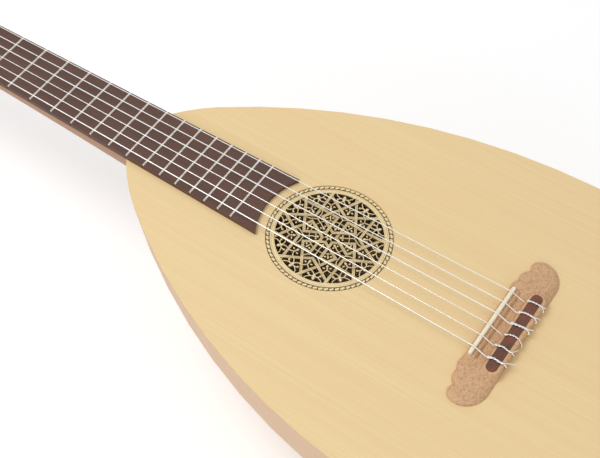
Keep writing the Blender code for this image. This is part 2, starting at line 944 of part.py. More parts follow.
def bridge_outline():
    half = wing_front()
    for i in range(lobe_steps + 1):
        turn = lobe_start + (pi / 2 - lobe_start) * i / lobe_steps
        half.append((lobe_x + lobe_front * cos(turn), lobe_y + lobe_reach * sin(turn)))
    back = lobe_x - bridge_back
    tail = lobe_y + lobe_reach - lobe_back_y
    for i in range(1, lobe_steps + 1):
        turn = pi / 2 + pi / 2 * i / lobe_steps
        half.append((lobe_x + back * cos(turn), lobe_back_y + tail * sin(turn)))
    return half + [(x, -y) for x, y in reversed(half)]


def bridge(material, datum):
    plate = prism("bridge", bridge_outline(), seat_gap, seat_gap + bridge_wing)
    item = new_object("bridge", plate, material, datum)
    half = bridge_block / 2
    sunk = bridge_wing / 2
    front = bridge_front - bridge_inset
    back = bridge_back + bridge_inset
    profile = [
        (front, sunk),
        (bridge_brow, bridge_land),
        (land_back, bridge_land),
        (channel_front, bridge_channel),
        (tie_front, bridge_channel),
        (tie_front, bridge_tie_height - bridge_edge / 2),
        (tie_front - bridge_edge / 2, bridge_tie_height),
        (back + bridge_edge, bridge_tie_height),
        (back, bridge_tie_height - bridge_edge),
        (back, sunk),
    ]
    ends = []
    for y in (-half - block_run, -half, half, half + block_run):
        at_end = abs(y) > half
        rise = block_end if at_end else 1.0
        taper = block_front_taper if at_end else 1.0
        ends.append([(x * taper if x > 0 else x, y, sunk + (z - sunk) * rise) for x, z in profile])
    combine(item, tool("bridge_block", loft("bridge_block", ends), datum), "UNION")
    gap = seat_gap
    floor = bridge_land - saddle_slot_depth - gap
    above = 2 * saddle_height
    low = (-saddle_thickness / 2 - gap, -saddle_length / 2 - gap, floor)
    high = (saddle_thickness / 2 + gap, saddle_length / 2 + gap, above)
    combine(item, tool("saddle_slot", box("saddle_slot", low, high), datum), "DIFFERENCE")
    floor = bridge_tie_height - inlay_thickness - gap
    pocket = prism("inlay_pocket", inlay_outline(gap), floor, above)
    combine(item, tool("inlay_pocket", pocket, datum), "DIFFERENCE")
    for n in range(string_count):
        y = string_place(n, saddle_spread)
        spots = (1.2 * bridge_back, (channel_front + tie_front) / 2)
        hole = turned("tie_hole", [(tie_hole_radius, spot) for spot in spots], 8)
        place = (0, y, tie_hole_height)
        combine(item, tool(f"tie_hole_{n}", hole, datum, place, (0, pi / 2, 0)), "DIFFERENCE")
    return item


def inlay_outline(grow=0.0):
    r = inlay_width / 2
    x = tie_front - inlay_margin - r
    straight = inlay_length / 2 - r
    first = arc((x, straight), r + grow, 0, pi, 8)
    second = arc((x, -straight), r + grow, pi, 2 * pi, 8)
    return first + second


def inlay(material, datum):
    floor = bridge_tie_height - inlay_thickness
    mesh = prism("tie_block_inlay", inlay_outline(), floor, bridge_tie_height)
    return new_object("tie_block_inlay", mesh, material, datum)


def saddle(material, datum):
    half = saddle_thickness / 2
    low = bridge_land - saddle_slot_depth
    profile = [(-half, low), (half, low)]
    for i in range(6):
        turn = pi * i / 5
        profile.append((half * cos(turn), saddle_height - saddle_round * (1 - sin(turn))))
    rings = [[(x, y, z) for x, z in profile] for y in (-saddle_length / 2, saddle_length / 2)]
    return new_object("saddle", loft("saddle", rings), material, datum)


def to_lute(u, y, n):
    # From the head's own frame to the lute's.
    x = nut_back + u * cos(head_angle) + n * sin(head_angle)
    return Vector((x, y, n * cos(head_angle) - u * sin(head_angle)))


def string_route(n):
    # From the loop on the tie block, over saddle and nut, to the turns round the roller.
    radius = string_diameters[n] / 2
    y = string_place(n, saddle_spread)
    top = bridge_tie_height + seat_gap + radius
    back = bridge_back - seat_gap - radius - loop_slack
    rise = saddle_height + seat_gap + radius
    side = 1 if n < string_count / 2 else -1
    beside = y - side * (2 * radius + loop_spread)
    points = [
        Vector((tie_front + 0.0010, beside, top - 0.0012)),
        Vector((tie_front + 0.0002, beside, top - 0.0001)),
        Vector((tie_front - 0.0014, beside, top + 0.0002)),
        Vector((-0.0200, y - side * 0.0006, top + 0.0002)),
        Vector((bridge_back + 0.0010, y, top + 0.0002)),
        Vector((back + 0.0003, y, top - 0.0008)),
        Vector((back, y, tie_hole_height + 0.0010)),
        Vector((back + 0.0004, y, tie_hole_height + 0.0001)),
        Vector((bridge_back + 0.0010, y, tie_hole_height)),
        Vector((tie_front + 0.0004, y, tie_hole_height)),
        Vector((-0.0018, y, rise - 0.0007)),
        Vector((0.0, y, rise)),
    ]
    y_nut = string_place(n, nut_spread)
    z_nut = nut_top - nut_notch_depth + seat_gap + radius
    points.append(Vector((scale_length + seat_gap, y_nut, z_nut)))
    leave = Vector((nut_back - seat_gap, y_nut, z_nut - nut_thickness * tan(head_angle) * 0.7))
    points.append(leave)
    order = (0, 1, 2) if side > 0 else (2, 1, 0)
    u0 = roller_places[order[n % 3]]
    pitch = 2 * radius + coil_space
    entry = coil_entries[order[n % 3]]
    reach = roller_radius + running_gap + radius
    du = leave.x - nut_back
    start_u = du * cos(head_angle) - leave.z * sin(head_angle)
    start_n = du * sin(head_angle) + leave.z * cos(head_angle)
    away = hypot(u0 - start_u, roller_z - start_n)
    lean = atan2(roller_z - start_n, u0 - start_u) + asin(reach / away)
    run = sqrt(away**2 - reach**2)
    touch = (start_u + run * cos(lean), start_n + run * sin(lean))
    first = atan2(touch[0] - u0, touch[1] - roller_z)
    steps = ceil(coil_turns * coil_points)
    for i in range(steps + 1):
        turn = first + 2 * pi * i / coil_points
        out = side * (entry + pitch * i / coil_points)
        points.append(to_lute(u0 + reach * sin(turn), out, roller_z + reach * cos(turn)))
    return points


def least_gap(points, radius):
    # Smallest clear space between stretches of one tube that lie further apart along it.
    lengths = [0.0]
    for a, b in zip(points, points[1:]):
        lengths.append(lengths[-1] + (b - a).length)
    least = 1.0
    for i, a in enumerate(points):
        for j in range(i + 1, len(points)):
            if lengths[j] - lengths[i] > 8 * radius:
                least = min(least, (points[j] - a).length - 2 * radius)
    return least


def string(n, material, datum):
    points = string_route(n)
    name = f"string_{n + 1}"
    curve = bpy.data.curves.new(name, "CURVE")
    curve.dimensions = "3D"
    curve.bevel_depth = string_diameters[n] / 2
    curve.bevel_resolution = 1
    curve.use_fill_caps = True
    spline = curve.splines.new("POLY")
    spline.points.add(len(points) - 1)
    for spot, point in zip(spline.points, points):
        spot.co = (*point, 1.0)
    gap = least_gap(points, curve.bevel_depth)
    print(f"{name}: least gap to itself {gap * 1000:.2f} mm")
    curve.materials.append(material)
    item = bpy.data.objects.new(name, curve)
    bpy.context.collection.objects.link(item)
    item.parent = datum
    return item


def build():
    clear_scene()
    spruce = finish("spruce", (0.79, 0.60, 0.32), 0.5)
    rose_wood = finish("rose_spruce", (0.76, 0.58, 0.33), 0.55)
    pale_rib = finish("maple_pale", (0.70, 0.48, 0.28), 0.35)
    dark_rib = finish("maple_warm", (0.64, 0.42, 0.24), 0.35)
    lacewood = finish("lacewood", (0.60, 0.36, 0.20), 0.5)
    cedar = finish("neck_cedar", (0.42, 0.22, 0.12), 0.45)
    rosewood = finish("rosewood", (0.075, 0.033, 0.022), 0.5)
    block_wood = finish("block_spruce", (0.70, 0.52, 0.30), 0.7)
    bone = finish("bone", (0.86, 0.80, 0.64), 0.35)
    nickel = finish("fret_nickel", (0.72, 0.69, 0.64), 0.3, 1.0)
    brass = finish("brass", (0.78, 0.58, 0.28), 0.3, 1.0)
    ivory = finish("button_ivory", (0.85, 0.80, 0.68), 0.3)
    nylon = finish("nylon", (0.86, 0.84, 0.80), 0.25)
    wound = finish("silver_wound", (0.74, 0.72, 0.68), 0.35, 1.0)

    head_end = nut_back + head_length * cos(head_angle)
    tail_end = tail_x - seat_gap - clasp_thickness
    datum = bpy.data.objects.new("lute_datum", None)
    bpy.context.collection.objects.link(datum)
    datum.location = (-(head_end + tail_end) / 2, 0, bowl_depth - rim_z)
    head_datum = bpy.data.objects.new("head_datum", None)
    bpy.context.collection.objects.link(head_datum)
    head_datum.parent = datum
    head_datum.location = (nut_back, 0, 0)
    head_datum.rotation_euler = Euler((0, head_angle, 0))

    soundboard(spruce, datum)
    rose(rose_wood, datum)
    ribs((pale_rib, dark_rib), datum)
    end_clasp(dark_rib, datum)
    block("tail_block", tail_x, tail_x + clasp_reach, block_wood, datum)
    block("neck_block", joint_x - neck_block_length, joint_x, block_wood, datum)
    neck_and_head(cedar, datum, head_datum)
    fingerboard(rosewood, datum)
    for n in range(1, fret_count + 1):
        fret(n, nickel, datum)
    nut(bone, datum)
    bridge(lacewood, datum)
    inlay(rosewood, datum)
    saddle(bone, datum)
    knob = knob_mesh(ivory)
    number = 0
    for side in (1, -1):
        tuner_plate(side, brass, head_datum)
        roller = roller_mesh(side, brass)
        for u in roller_places:
            number += 1
            item = new_object(f"roller_{number}", roller, brass, head_datum)
            item.location = (u, 0, roller_z)
            item = new_object(f"tuner_knob_{number}", knob, ivory, head_datum)
            item.location = (u + worm_offset, side * gear_y, roller_z)
    for n in range(string_count):
        string(n, wound if n < 3 else nylon, datum)
    length = (head_end - tail_end) * 1000
    print(f"overall length {length:.1f} mm, head bent back {degrees(head_angle):.0f} degrees")


build()
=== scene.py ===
# %% [markdown]
# # A lute guitar
# The instrument has the frets, six strings and geared tuners of a guitar on the ribbed bowl of a
# lute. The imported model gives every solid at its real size. This script dresses it: pieces that
# need finer forms than the solids have are modelled again here, and every surface gets a finish
# that is worked out from noise, with no pictures.

# %% Load the frame
from math import asin, atan2, cos, degrees, pi, radians, sin, sqrt, tan

import bpy
from mathutils import Matrix, Quaternion, Vector


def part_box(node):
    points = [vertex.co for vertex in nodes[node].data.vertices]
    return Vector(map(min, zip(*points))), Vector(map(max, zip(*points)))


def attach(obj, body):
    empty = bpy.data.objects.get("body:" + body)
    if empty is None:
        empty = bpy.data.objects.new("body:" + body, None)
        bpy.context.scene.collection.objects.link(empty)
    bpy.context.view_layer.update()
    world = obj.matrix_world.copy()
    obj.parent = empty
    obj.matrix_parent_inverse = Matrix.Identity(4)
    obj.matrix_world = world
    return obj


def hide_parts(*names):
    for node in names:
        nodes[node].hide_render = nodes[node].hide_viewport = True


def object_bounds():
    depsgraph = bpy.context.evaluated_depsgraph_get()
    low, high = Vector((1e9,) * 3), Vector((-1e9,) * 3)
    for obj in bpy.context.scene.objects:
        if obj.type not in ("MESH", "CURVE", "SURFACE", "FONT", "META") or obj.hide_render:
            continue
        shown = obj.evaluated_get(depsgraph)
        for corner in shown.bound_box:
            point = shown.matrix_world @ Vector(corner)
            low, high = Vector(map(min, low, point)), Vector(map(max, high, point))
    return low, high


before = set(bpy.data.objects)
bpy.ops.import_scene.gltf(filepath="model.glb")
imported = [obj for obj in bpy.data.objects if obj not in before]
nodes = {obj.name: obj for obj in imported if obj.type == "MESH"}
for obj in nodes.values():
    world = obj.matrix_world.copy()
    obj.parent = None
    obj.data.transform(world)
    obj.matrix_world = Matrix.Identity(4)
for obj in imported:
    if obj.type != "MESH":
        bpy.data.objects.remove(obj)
cad_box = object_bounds()

# %% [markdown]
# All places are counted from one datum, the point on top of the soundboard under the middle of
# the saddle, because that is where a maker measures from. X runs to the head, Y to the bass side.

# %% Datum and measures read from the frame
saddle_low, saddle_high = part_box("saddle")
top_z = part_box("soundboard")[1].z
datum = Vector(((saddle_low.x + saddle_high.x) / 2, 0.0, top_z))
floor_z = cad_box[0][2]


def lute(x, y, z):
    return datum + Vector((x, y, z))


print("datum at", [round(v, 4) for v in datum])

# %% [markdown]
# ## The camera
# The picture is a crop from a larger one, so its vanishing lines do not meet around its middle.
# The lens shift brings the crop back, and the focal length is the one that the frets and the
# round rose agree on.

# %% Camera
camera_place = lute(-0.1271, 0.4725, 0.7860)
camera_aim = lute(0.2342, 0.0662, 0.0)
camera_roll = radians(-5.956)
focal_pixels = 1200.5
frame_width = 600
shift_pixels = (113.5, 10.7)

camera_data = bpy.data.cameras.new("camera")
camera_data.sensor_width = 36.0
camera_data.lens = focal_pixels / frame_width * camera_data.sensor_width
camera_data.shift_x = shift_pixels[0] / frame_width
camera_data.shift_y = shift_pixels[1] / frame_width
camera_data.clip_start = 0.01
camera = bpy.data.objects.new("camera", camera_data)
bpy.context.scene.collection.objects.link(camera)
look = (camera_aim - camera_place).to_track_quat("-Z", "Y")
camera.location = camera_place
camera.rotation_mode = "QUATERNION"
camera.rotation_quaternion = look @ Quaternion((0, 0, 1), camera_roll)
bpy.context.scene.camera = camera
print("lens", round(camera_data.lens, 1), "mm")

# %% [markdown]
# ## Light, floor and background
# The photograph is a studio cut-out: very even light and a white ground. A bright sky does most
# of the work, with one broad lamp over the far side to give the frets and strings their edges.
# Rays that come from the camera see plain white, and the others a softer sky, so that the white
# ground adds no light to the wood.

# %% World
world = bpy.data.worlds.new("studio")
bpy.context.scene.world = world
world.use_nodes = True
sky = world.node_tree
sky.nodes.clear()
sky_light = sky.nodes.new("ShaderNodeBackground")
sky_light.inputs["Color"].default_value = (0.97, 0.98, 1.0, 1.0)
sky_light.inputs["Strength"].default_value = 0.62
sky_white = sky.nodes.new("ShaderNodeBackground")
sky_white.inputs["Color"].default_value = (1.0, 1.0, 1.0, 1.0)
sky_white.inputs["Strength"].default_value = 1.0
ray = sky.nodes.new("ShaderNodeLightPath")
seen = sky.nodes.new("ShaderNodeMath")
seen.operation = "MAXIMUM"
seen_through = sky.nodes.new("ShaderNodeMath")
seen_through.operation = "MAXIMUM"
sky_mix = sky.nodes.new("ShaderNodeMixShader")
sky_out = sky.nodes.new("ShaderNodeOutputWorld")
sky.links.new(ray.outputs["Is Camera Ray"], seen.inputs[0])
sky.links.new(ray.outputs["Is Glossy Ray"], seen.inputs[1])
sky.links.new(seen.outputs[0], seen_through.inputs[0])
sky.links.new(ray.outputs["Is Transmission Ray"], seen_through.inputs[1])
sky.links.new(seen_through.outputs[0], sky_mix.inputs["Fac"])
sky.links.new(sky_light.outputs[0], sky_mix.inputs[1])
sky.links.new(sky_white.outputs[0], sky_mix.inputs[2])
sky.links.new(sky_mix.outputs[0], sky_out.inputs["Surface"])


# %% Lamps
def softbox(name, place, aim, size, power, colour):
    lamp = bpy.data.lights.new(name, "AREA")
    lamp.shape = "RECTANGLE"
    lamp.size, lamp.size_y = size
    lamp.energy = power
    lamp.color = colour
    item = bpy.data.objects.new(name, lamp)
    bpy.context.scene.collection.objects.link(item)
    item.location = place
    item.rotation_mode = "QUATERNION"
    item.rotation_quaternion = (aim - place).to_track_quat("-Z", "Y")
    return item


middle = lute(0.1, 0.0, 0.0)
softbox("key_light", lute(0.9, 0.5, 1.7), middle, (1.2, 0.9), 17.0, (1.0, 0.98, 0.95))
softbox("fill_light", lute(-0.7, 1.6, 0.9), middle, (1.4, 1.0), 7.0, (1.0, 0.97, 0.94))

# %% Floor
bpy.ops.object.select_all(action="DESELECT")
bpy.ops.mesh.primitive_plane_add(size=30.0, location=(0, 0, floor_z - 0.0003))
floor = bpy.context.object
floor.name = "floor"
floor_paint = bpy.data.materials.new("floor_paper")
floor_paint.use_nodes = True
tree = floor_paint.node_tree
paper = tree.nodes["Principled BSDF"]
paper.inputs["Base Color"].default_value = (0.86, 0.86, 0.86, 1.0)
paper.inputs["Roughness"].default_value = 0.9
paper.inputs["Emission Color"].default_value = (1.0, 1.0, 1.0, 1.0)
ray = tree.nodes.new("ShaderNodeLightPath")
glow = tree.nodes.new("ShaderNodeMath")
glow.operation = "MULTIPLY"
glow.inputs[1].default_value = 0.22
tree.links.new(ray.outputs["Is Camera Ray"], glow.inputs[0])
tree.links.new(glow.outputs[0], paper.inputs["Emission Strength"])
floor.data.materials.append(floor_paint)

# %% [markdown]
# ## Wood
# All the woods share one node group. It takes a place in metres and stretches noise along the
# grain: the lines are the annual rings cut lengthwise, the bands are the slower changes of
# colour across a board, and the pores are short dashes. Each wood then mixes its own colours.


# %% Helpers for nodes
def node(tree, kind, **values):
    made = tree.nodes.new(kind)
    for key, value in values.items():
        if hasattr(made, key):
            setattr(made, key, value)
        else:
            made.inputs[key.replace("_", " ")].default_value = value
    return made


def group_input(group, name, kind="NodeSocketFloat", value=0.0):
    socket = group.interface.new_socket(name=name, in_out="INPUT", socket_type=kind)
    if kind == "NodeSocketFloat":
        socket.default_value = value


def group_output(group, name):
    group.interface.new_socket(name=name, in_out="OUTPUT", socket_type="NodeSocketFloat")


def stretched_noise(group, vector, scale_sockets, detail):
    # Noise of a coordinate that is divided by a different length on each axis.
    split = node(group, "ShaderNodeSeparateXYZ")
    join = node(group, "ShaderNodeCombineXYZ")
    group.links.new(vector, split.inputs[0])
    for axis, length in enumerate(scale_sockets):
        divide = node(group, "ShaderNodeMath", operation="DIVIDE")
        group.links.new(split.outputs[axis], divide.inputs[0])
        group.links.new(length, divide.inputs[1])
        group.links.new(divide.outputs[0], join.inputs[axis])
    noise = node(group, "ShaderNodeTexNoise", Scale=1.0, Detail=detail, Roughness=0.55)
    group.links.new(join.outputs[0], noise.inputs["Vector"])
    return noise.outputs["Fac"]


def multiply(group, a, factor):
    scale = node(group, "ShaderNodeMath", operation="MULTIPLY")
    scale.inputs[1].default_value = factor
    group.links.new(a, scale.inputs[0])
    return scale.outputs[0]


def sharpen(group, value, low, high):
    # Stretches the middle of a noise to the full range from 0 to 1.
    step = node(group, "ShaderNodeMapRange", interpolation_type="SMOOTHSTEP")
    step.inputs["From Min"].default_value = low
    step.inputs["From Max"].default_value = high
    group.links.new(value, step.inputs["Value"])
    return step.outputs["Result"]


# %% The grain group
grain_group = bpy.data.node_groups.new("wood_grain", "ShaderNodeTree")
group_input(grain_group, "Place", "NodeSocketVector")
group_input(grain_group, "Line Spacing", value=0.0012)
group_input(grain_group, "Line Length", value=0.25)
group_output(grain_group, "Lines")
group_output(grain_group, "Bands")
group_output(grain_group, "Pores")
group_output(grain_group, "Mottle")
g_in = node(grain_group, "NodeGroupInput")
g_out = node(grain_group, "NodeGroupOutput")
spacing = g_in.outputs["Line Spacing"]
length = g_in.outputs["Line Length"]
place = g_in.outputs["Place"]
lines = stretched_noise(grain_group, place, (length, spacing, spacing), 3.0)
wide = multiply(grain_group, spacing, 14.0)
bands = stretched_noise(grain_group, place, (length, wide, wide), 2.0)
short = multiply(grain_group, spacing, 4.5)
narrow = multiply(grain_group, spacing, 0.32)
pores = stretched_noise(grain_group, place, (short, narrow, narrow), 1.0)
speck = multiply(grain_group, spacing, 1.6)
mottle = stretched_noise(grain_group, place, (speck, speck, speck), 3.0)
links = grain_group.links
links.new(sharpen(grain_group, lines, 0.32, 0.68), g_out.inputs["Lines"])
links.new(sharpen(grain_group, bands, 0.3, 0.7), g_out.inputs["Bands"])
links.new(sharpen(grain_group, pores, 0.60, 0.74), g_out.inputs["Pores"])
links.new(mottle, g_out.inputs["Mottle"])


# %% A wood from its colours
def colour_sockets(mix):
    return [s for s in mix.inputs if s.type == "RGBA"]


def blank(name, roughness, metallic=0.0):
    material = bpy.data.materials.new(name)
    material.use_nodes = True
    tree = material.node_tree
    shader = tree.nodes["Principled BSDF"]
    shader.inputs["Roughness"].default_value = roughness
    shader.inputs["Metallic"].default_value = metallic
    return material, tree, shader


def blend_colours(tree, factor, a, b, strength=1.0):
    # Mixes two colours, each a tuple or a socket, by a factor from 0 to strength.
    mix = node(tree, "ShaderNodeMix", data_type="RGBA")
    first, second = colour_sockets(mix)
    tree.links.new(multiply(tree, factor, strength), mix.inputs[0])
    for socket, value in ((first, a), (second, b)):
        if isinstance(value, tuple):
            socket.default_value = (*value, 1.0)
        else:
            tree.links.new(value, socket)
    return [s for s in mix.outputs if s.type == "RGBA"][0]


def bump(tree, shader, height, distance, strength=0.5):
    relief = node(tree, "ShaderNodeBump", Distance=distance, Strength=strength)
    tree.links.new(height, relief.inputs["Height"])
    tree.links.new(relief.outputs[0], shader.inputs["Normal"])


def wood(
    name, pale, dark, band, pore, spacing, length, roughness, uses_map=False,
    strengths=(0.5, 0.5, 0.5),
):
    material, tree, shader = blank(name, roughness)
    coordinates = node(tree, "ShaderNodeTexCoord")
    grain = node(tree, "ShaderNodeGroup")
    grain.node_tree = grain_group
    grain.inputs["Line Spacing"].default_value = spacing
    grain.inputs["Line Length"].default_value = length
    source = coordinates.outputs["UV" if uses_map else "Object"]
    tree.links.new(source, grain.inputs["Place"])
    colour = blend_colours(tree, grain.outputs["Lines"], pale, dark, strengths[0])
    colour = blend_colours(tree, grain.outputs["Bands"], colour, band, strengths[1])
    colour = blend_colours(tree, grain.outputs["Pores"], colour, pore, strengths[2])
    tree.links.new(colour, shader.inputs["Base Color"])
    bump(tree, shader, grain.outputs["Lines"], 0.0001, 0.15)
    return material


spruce = wood(
    "spruce", (0.80, 0.61, 0.325), (0.72, 0.52, 0.26), (0.76, 0.55, 0.29), (0.84, 0.66, 0.37),
    0.0011, 0.22, 0.5,
)
rib_wood = wood(
    "rib_wood", (0.75, 0.52, 0.33), (0.66, 0.43, 0.26), (0.70, 0.46, 0.28), (0.58, 0.37, 0.22),
    0.0009, 0.16, 0.42,
)
neck_wood = wood(
    "neck_wood", (0.47, 0.25, 0.13), (0.38, 0.19, 0.10), (0.42, 0.21, 0.11), (0.25, 0.12, 0.06),
    0.0010, 0.12, 0.4,
)
rosewood = wood(
    "rosewood", (0.090, 0.036, 0.022), (0.045, 0.020, 0.014), (0.12, 0.05, 0.03), (0.020, 0.010, 0.008),
    0.0012, 0.05, 0.45,
)
inner_wood = wood(
    "inner_wood", (0.36, 0.25, 0.14), (0.30, 0.20, 0.11), (0.33, 0.22, 0.12), (0.25, 0.16, 0.09),
    0.0011, 0.2, 0.7,
)


# %% [markdown]
# ## Bone, metal and nylon
# Bone is cream with faint clouds. The metals keep a soft, uneven polish: one noise moves the
# roughness a little, so that reflections break up as they do on a handled fitting.


# %% Finishes that are not wood
polish_swing = 0.08


def clouded(name, light, dark, scale, roughness, metallic=0.0):
    material, tree, shader = blank(name, roughness, metallic)
    coordinates = node(tree, "ShaderNodeTexCoord")
    noise = node(tree, "ShaderNodeTexNoise", Scale=scale, Detail=4.0, Roughness=0.6)
    tree.links.new(coordinates.outputs["Object"], noise.inputs["Vector"])
    tree.links.new(blend_colours(tree, noise.outputs["Fac"], light, dark), shader.inputs["Base Color"])
    polish = node(tree, "ShaderNodeMapRange")
    polish.inputs["To Min"].default_value = roughness - polish_swing
    polish.inputs["To Max"].default_value = roughness + polish_swing
    tree.links.new(noise.outputs["Fac"], polish.inputs["Value"])
    tree.links.new(polish.outputs[0], shader.inputs["Roughness"])
    return material


bone = clouded("bone", (0.88, 0.82, 0.66), (0.80, 0.71, 0.52), 160.0, 0.35)
nickel = clouded("fret_nickel", (0.75, 0.72, 0.66), (0.66, 0.63, 0.58), 400.0, 0.28, 1.0)
brass = clouded("brass", (0.80, 0.60, 0.28), (0.66, 0.46, 0.20), 300.0, 0.28, 1.0)
ivoroid = clouded("ivoroid", (0.88, 0.83, 0.70), (0.78, 0.71, 0.56), 240.0, 0.22)
nylon = clouded("nylon", (0.88, 0.87, 0.84), (0.80, 0.79, 0.75), 900.0, 0.25)
silver_winding = clouded("silver_winding", (0.80, 0.78, 0.74), (0.68, 0.66, 0.62), 900.0, 0.32, 1.0)

# %% [markdown]
# Carving shows because its hollows are darker: the shade that falls in them is painted into the
# colour. The carved wood takes the depth that its pieces keep, and its height, as painted shade,
# since the lower bands of the rose get less light than the leaves on top.


# %% Carved wood
def plain_colour(material):
    # The socket that feeds a material's colour so far.
    return material.node_tree.nodes["Principled BSDF"].inputs["Base Color"].links[0].from_socket


def tint(material, factor, colour, strength):
    tree = material.node_tree
    tinted = blend_colours(tree, factor, plain_colour(material), colour, strength)
    tree.links.new(tinted, tree.nodes["Principled BSDF"].inputs["Base Color"])
    return material


def depth_mask(material, shallow, deep):
    tree = material.node_tree
    depth = node(tree, "ShaderNodeAttribute", attribute_name="depth")
    return sharpen(tree, depth.outputs["Fac"], shallow, deep)


def height_mask(material, high, low):
    # From 0 at the height called high to 1 at low, both counted in metres from the soundboard.
    tree = material.node_tree
    coordinates = node(tree, "ShaderNodeTexCoord")
    split = node(tree, "ShaderNodeSeparateXYZ")
    tree.links.new(coordinates.outputs["Object"], split.inputs[0])
    return sharpen(tree, split.outputs[2], top_z + high, top_z + low)


rose_spruce = wood(
    "rose_spruce", (0.84, 0.69, 0.40), (0.72, 0.56, 0.29), (0.78, 0.62, 0.34), (0.62, 0.46, 0.22),
    0.0011, 0.22, 0.55,
)
# Painted shade: the lower bands of the rose are darkened by their height over the floor of the carving.
tint(rose_spruce, height_mask(rose_spruce, -0.00020, -0.00060), (0.50, 0.38, 0.19), 0.65)
# Painted shade: the hollows of every carved piece are darkened by the depth marked on it.
tint(rose_spruce, depth_mask(rose_spruce, 0.00005, 0.00060), (0.10, 0.055, 0.02), 0.85)
dark_floor = wood(
    "dark_floor", (0.045, 0.022, 0.010), (0.030, 0.014, 0.006), (0.04, 0.018, 0.008), (0.02, 0.01, 0.004),
    0.0008, 0.02, 0.8,
)


# %% [markdown]
# Lacewood is named for its flecks: short dark dashes between light ones, all over the surface,
# along the length of the bridge. They are a coarse noise, stretched and sharpened, over the grain.


# %% Bridge woods
def turned_coordinates(material):
    # The grain of a piece that lies across the lute runs along Y, so X and Y change places.
    tree = material.node_tree
    for item in tree.nodes:
        if item.type == "GROUP":
            source = item.inputs["Place"].links[0].from_socket
            split = node(tree, "ShaderNodeSeparateXYZ")
            join = node(tree, "ShaderNodeCombineXYZ")
            tree.links.new(source, split.inputs[0])
            tree.links.new(split.outputs[1], join.inputs[0])
            tree.links.new(split.outputs[0], join.inputs[1])
            tree.links.new(split.outputs[2], join.inputs[2])
            tree.links.new(join.outputs[0], item.inputs["Place"])
    return material


def flecks(material, width, run, low, high):
    # Short dashes along Y, as a mask.
    tree = material.node_tree
    coordinates = node(tree, "ShaderNodeTexCoord")
    mapping = node(tree, "ShaderNodeMapping")
    mapping.inputs["Scale"].default_value = (1 / width, 1 / run, 1 / width)
    noise = node(tree, "ShaderNodeTexNoise", Scale=1.0, Detail=1.0, Roughness=0.5, Distortion=0.6)
    tree.links.new(coordinates.outputs["Object"], mapping.inputs["Vector"])
    tree.links.new(mapping.outputs[0], noise.inputs["Vector"])
    return sharpen(tree, noise.outputs["Fac"], low, high)


lacewood = turned_coordinates(wood(
    "lacewood", (0.63, 0.395, 0.215), (0.56, 0.335, 0.175), (0.60, 0.365, 0.20), (0.50, 0.28, 0.14),
    0.0007, 0.02, 0.5,
))
tint(lacewood, flecks(lacewood, 0.0008, 0.0022, 0.46, 0.62), (0.36, 0.19, 0.09), 0.62)
inlay_wood = turned_coordinates(wood(
    "inlay_rosewood", (0.115, 0.040, 0.020), (0.045, 0.020, 0.010), (0.20, 0.055, 0.022),
    (0.02, 0.01, 0.006),
    0.0011, 0.018, 0.42, False, (0.7, 0.8, 0.6),
))

# %% [markdown]
# ## Tools of the bench
# Most of a lute is strip: ribs, bands of the rose, strings, bindings. So one helper lays a grid
# primitive over rows of points, and another lays such rows along a path, with a section to each.
# At a corner of a flat path the row is lengthened, as a mitre is, and the strip keeps its width.
# The grid keeps a map in metres, along and round the strip, which wood grain and windings follow,
# and each point keeps how deep it lies under the top of its section, for painted shade on carved wood.


# %% Modelling helpers
def deselect():
    bpy.ops.object.select_all(action="DESELECT")


def activate(item):
    deselect()
    item.select_set(True)
    bpy.context.view_layer.objects.active = item


def edit(item, *steps):
    # Runs edit mode operators, given as functions, on the whole mesh of one piece.
    activate(item)
    bpy.ops.object.mode_set(mode="EDIT")
    bpy.ops.mesh.select_all(action="SELECT")
    for step in steps:
        step()
    bpy.ops.object.mode_set(mode="OBJECT")
    return item


def close_up():
    bpy.ops.mesh.remove_doubles(threshold=1e-6)
    bpy.ops.mesh.fill_holes(sides=0)
    bpy.ops.mesh.normals_make_consistent(inside=False)


def smooth(item, angle=35):
    activate(item)
    bpy.ops.object.shade_smooth_by_angle(angle=radians(angle))
    return item


def paint(item, material):
    item.data.materials.clear()
    item.data.materials.append(material)
    return item


def copied(item, matrix):
    twin = item.copy()
    twin.data = item.data.copy()
    bpy.context.collection.objects.link(twin)
    twin.data.transform(matrix)
    return twin


def joined(name, items):
    deselect()
    for item in items:
        item.select_set(True)
    bpy.context.view_layer.objects.active = items[0]
    bpy.ops.object.join()
    items[0].name = name
    return items[0]


def settled(item):
    # Puts the place, turn and size of a piece into its mesh.
    activate(item)
    bpy.ops.object.transform_apply(location=True, rotation=True, scale=True)
    return item


def apply_modifier(item, kind, **values):
    activate(item)
    modifier = item.modifiers.new(kind.lower(), kind)
    for key, value in values.items():
        setattr(modifier, key, value)
    bpy.ops.object.modifier_apply(modifier=modifier.name)
    return item


def rounded(item, width):
    return apply_modifier(
        item, "BEVEL", width=width, segments=3, limit_method="ANGLE", angle_limit=radians(40)
    )


# %% Paths
def curve_through(points, steps):
    # Smooth path through chosen points, with a number of steps between each two.
    path = []
    for i in range(len(points) - 1):
        a = points[max(i - 1, 0)]
        b, c = points[i], points[i + 1]
        d = points[min(i + 2, len(points) - 1)]
        for k in range(steps):
            t = k / steps
            path.append(
                b * (1 - t) ** 2 * (1 + 2 * t)
                + c * t**2 * (3 - 2 * t)
                + (c - a) / 2 * t * (1 - t) ** 2
                - (d - b) / 2 * t**2 * (1 - t)
            )
    return path + [points[-1]]


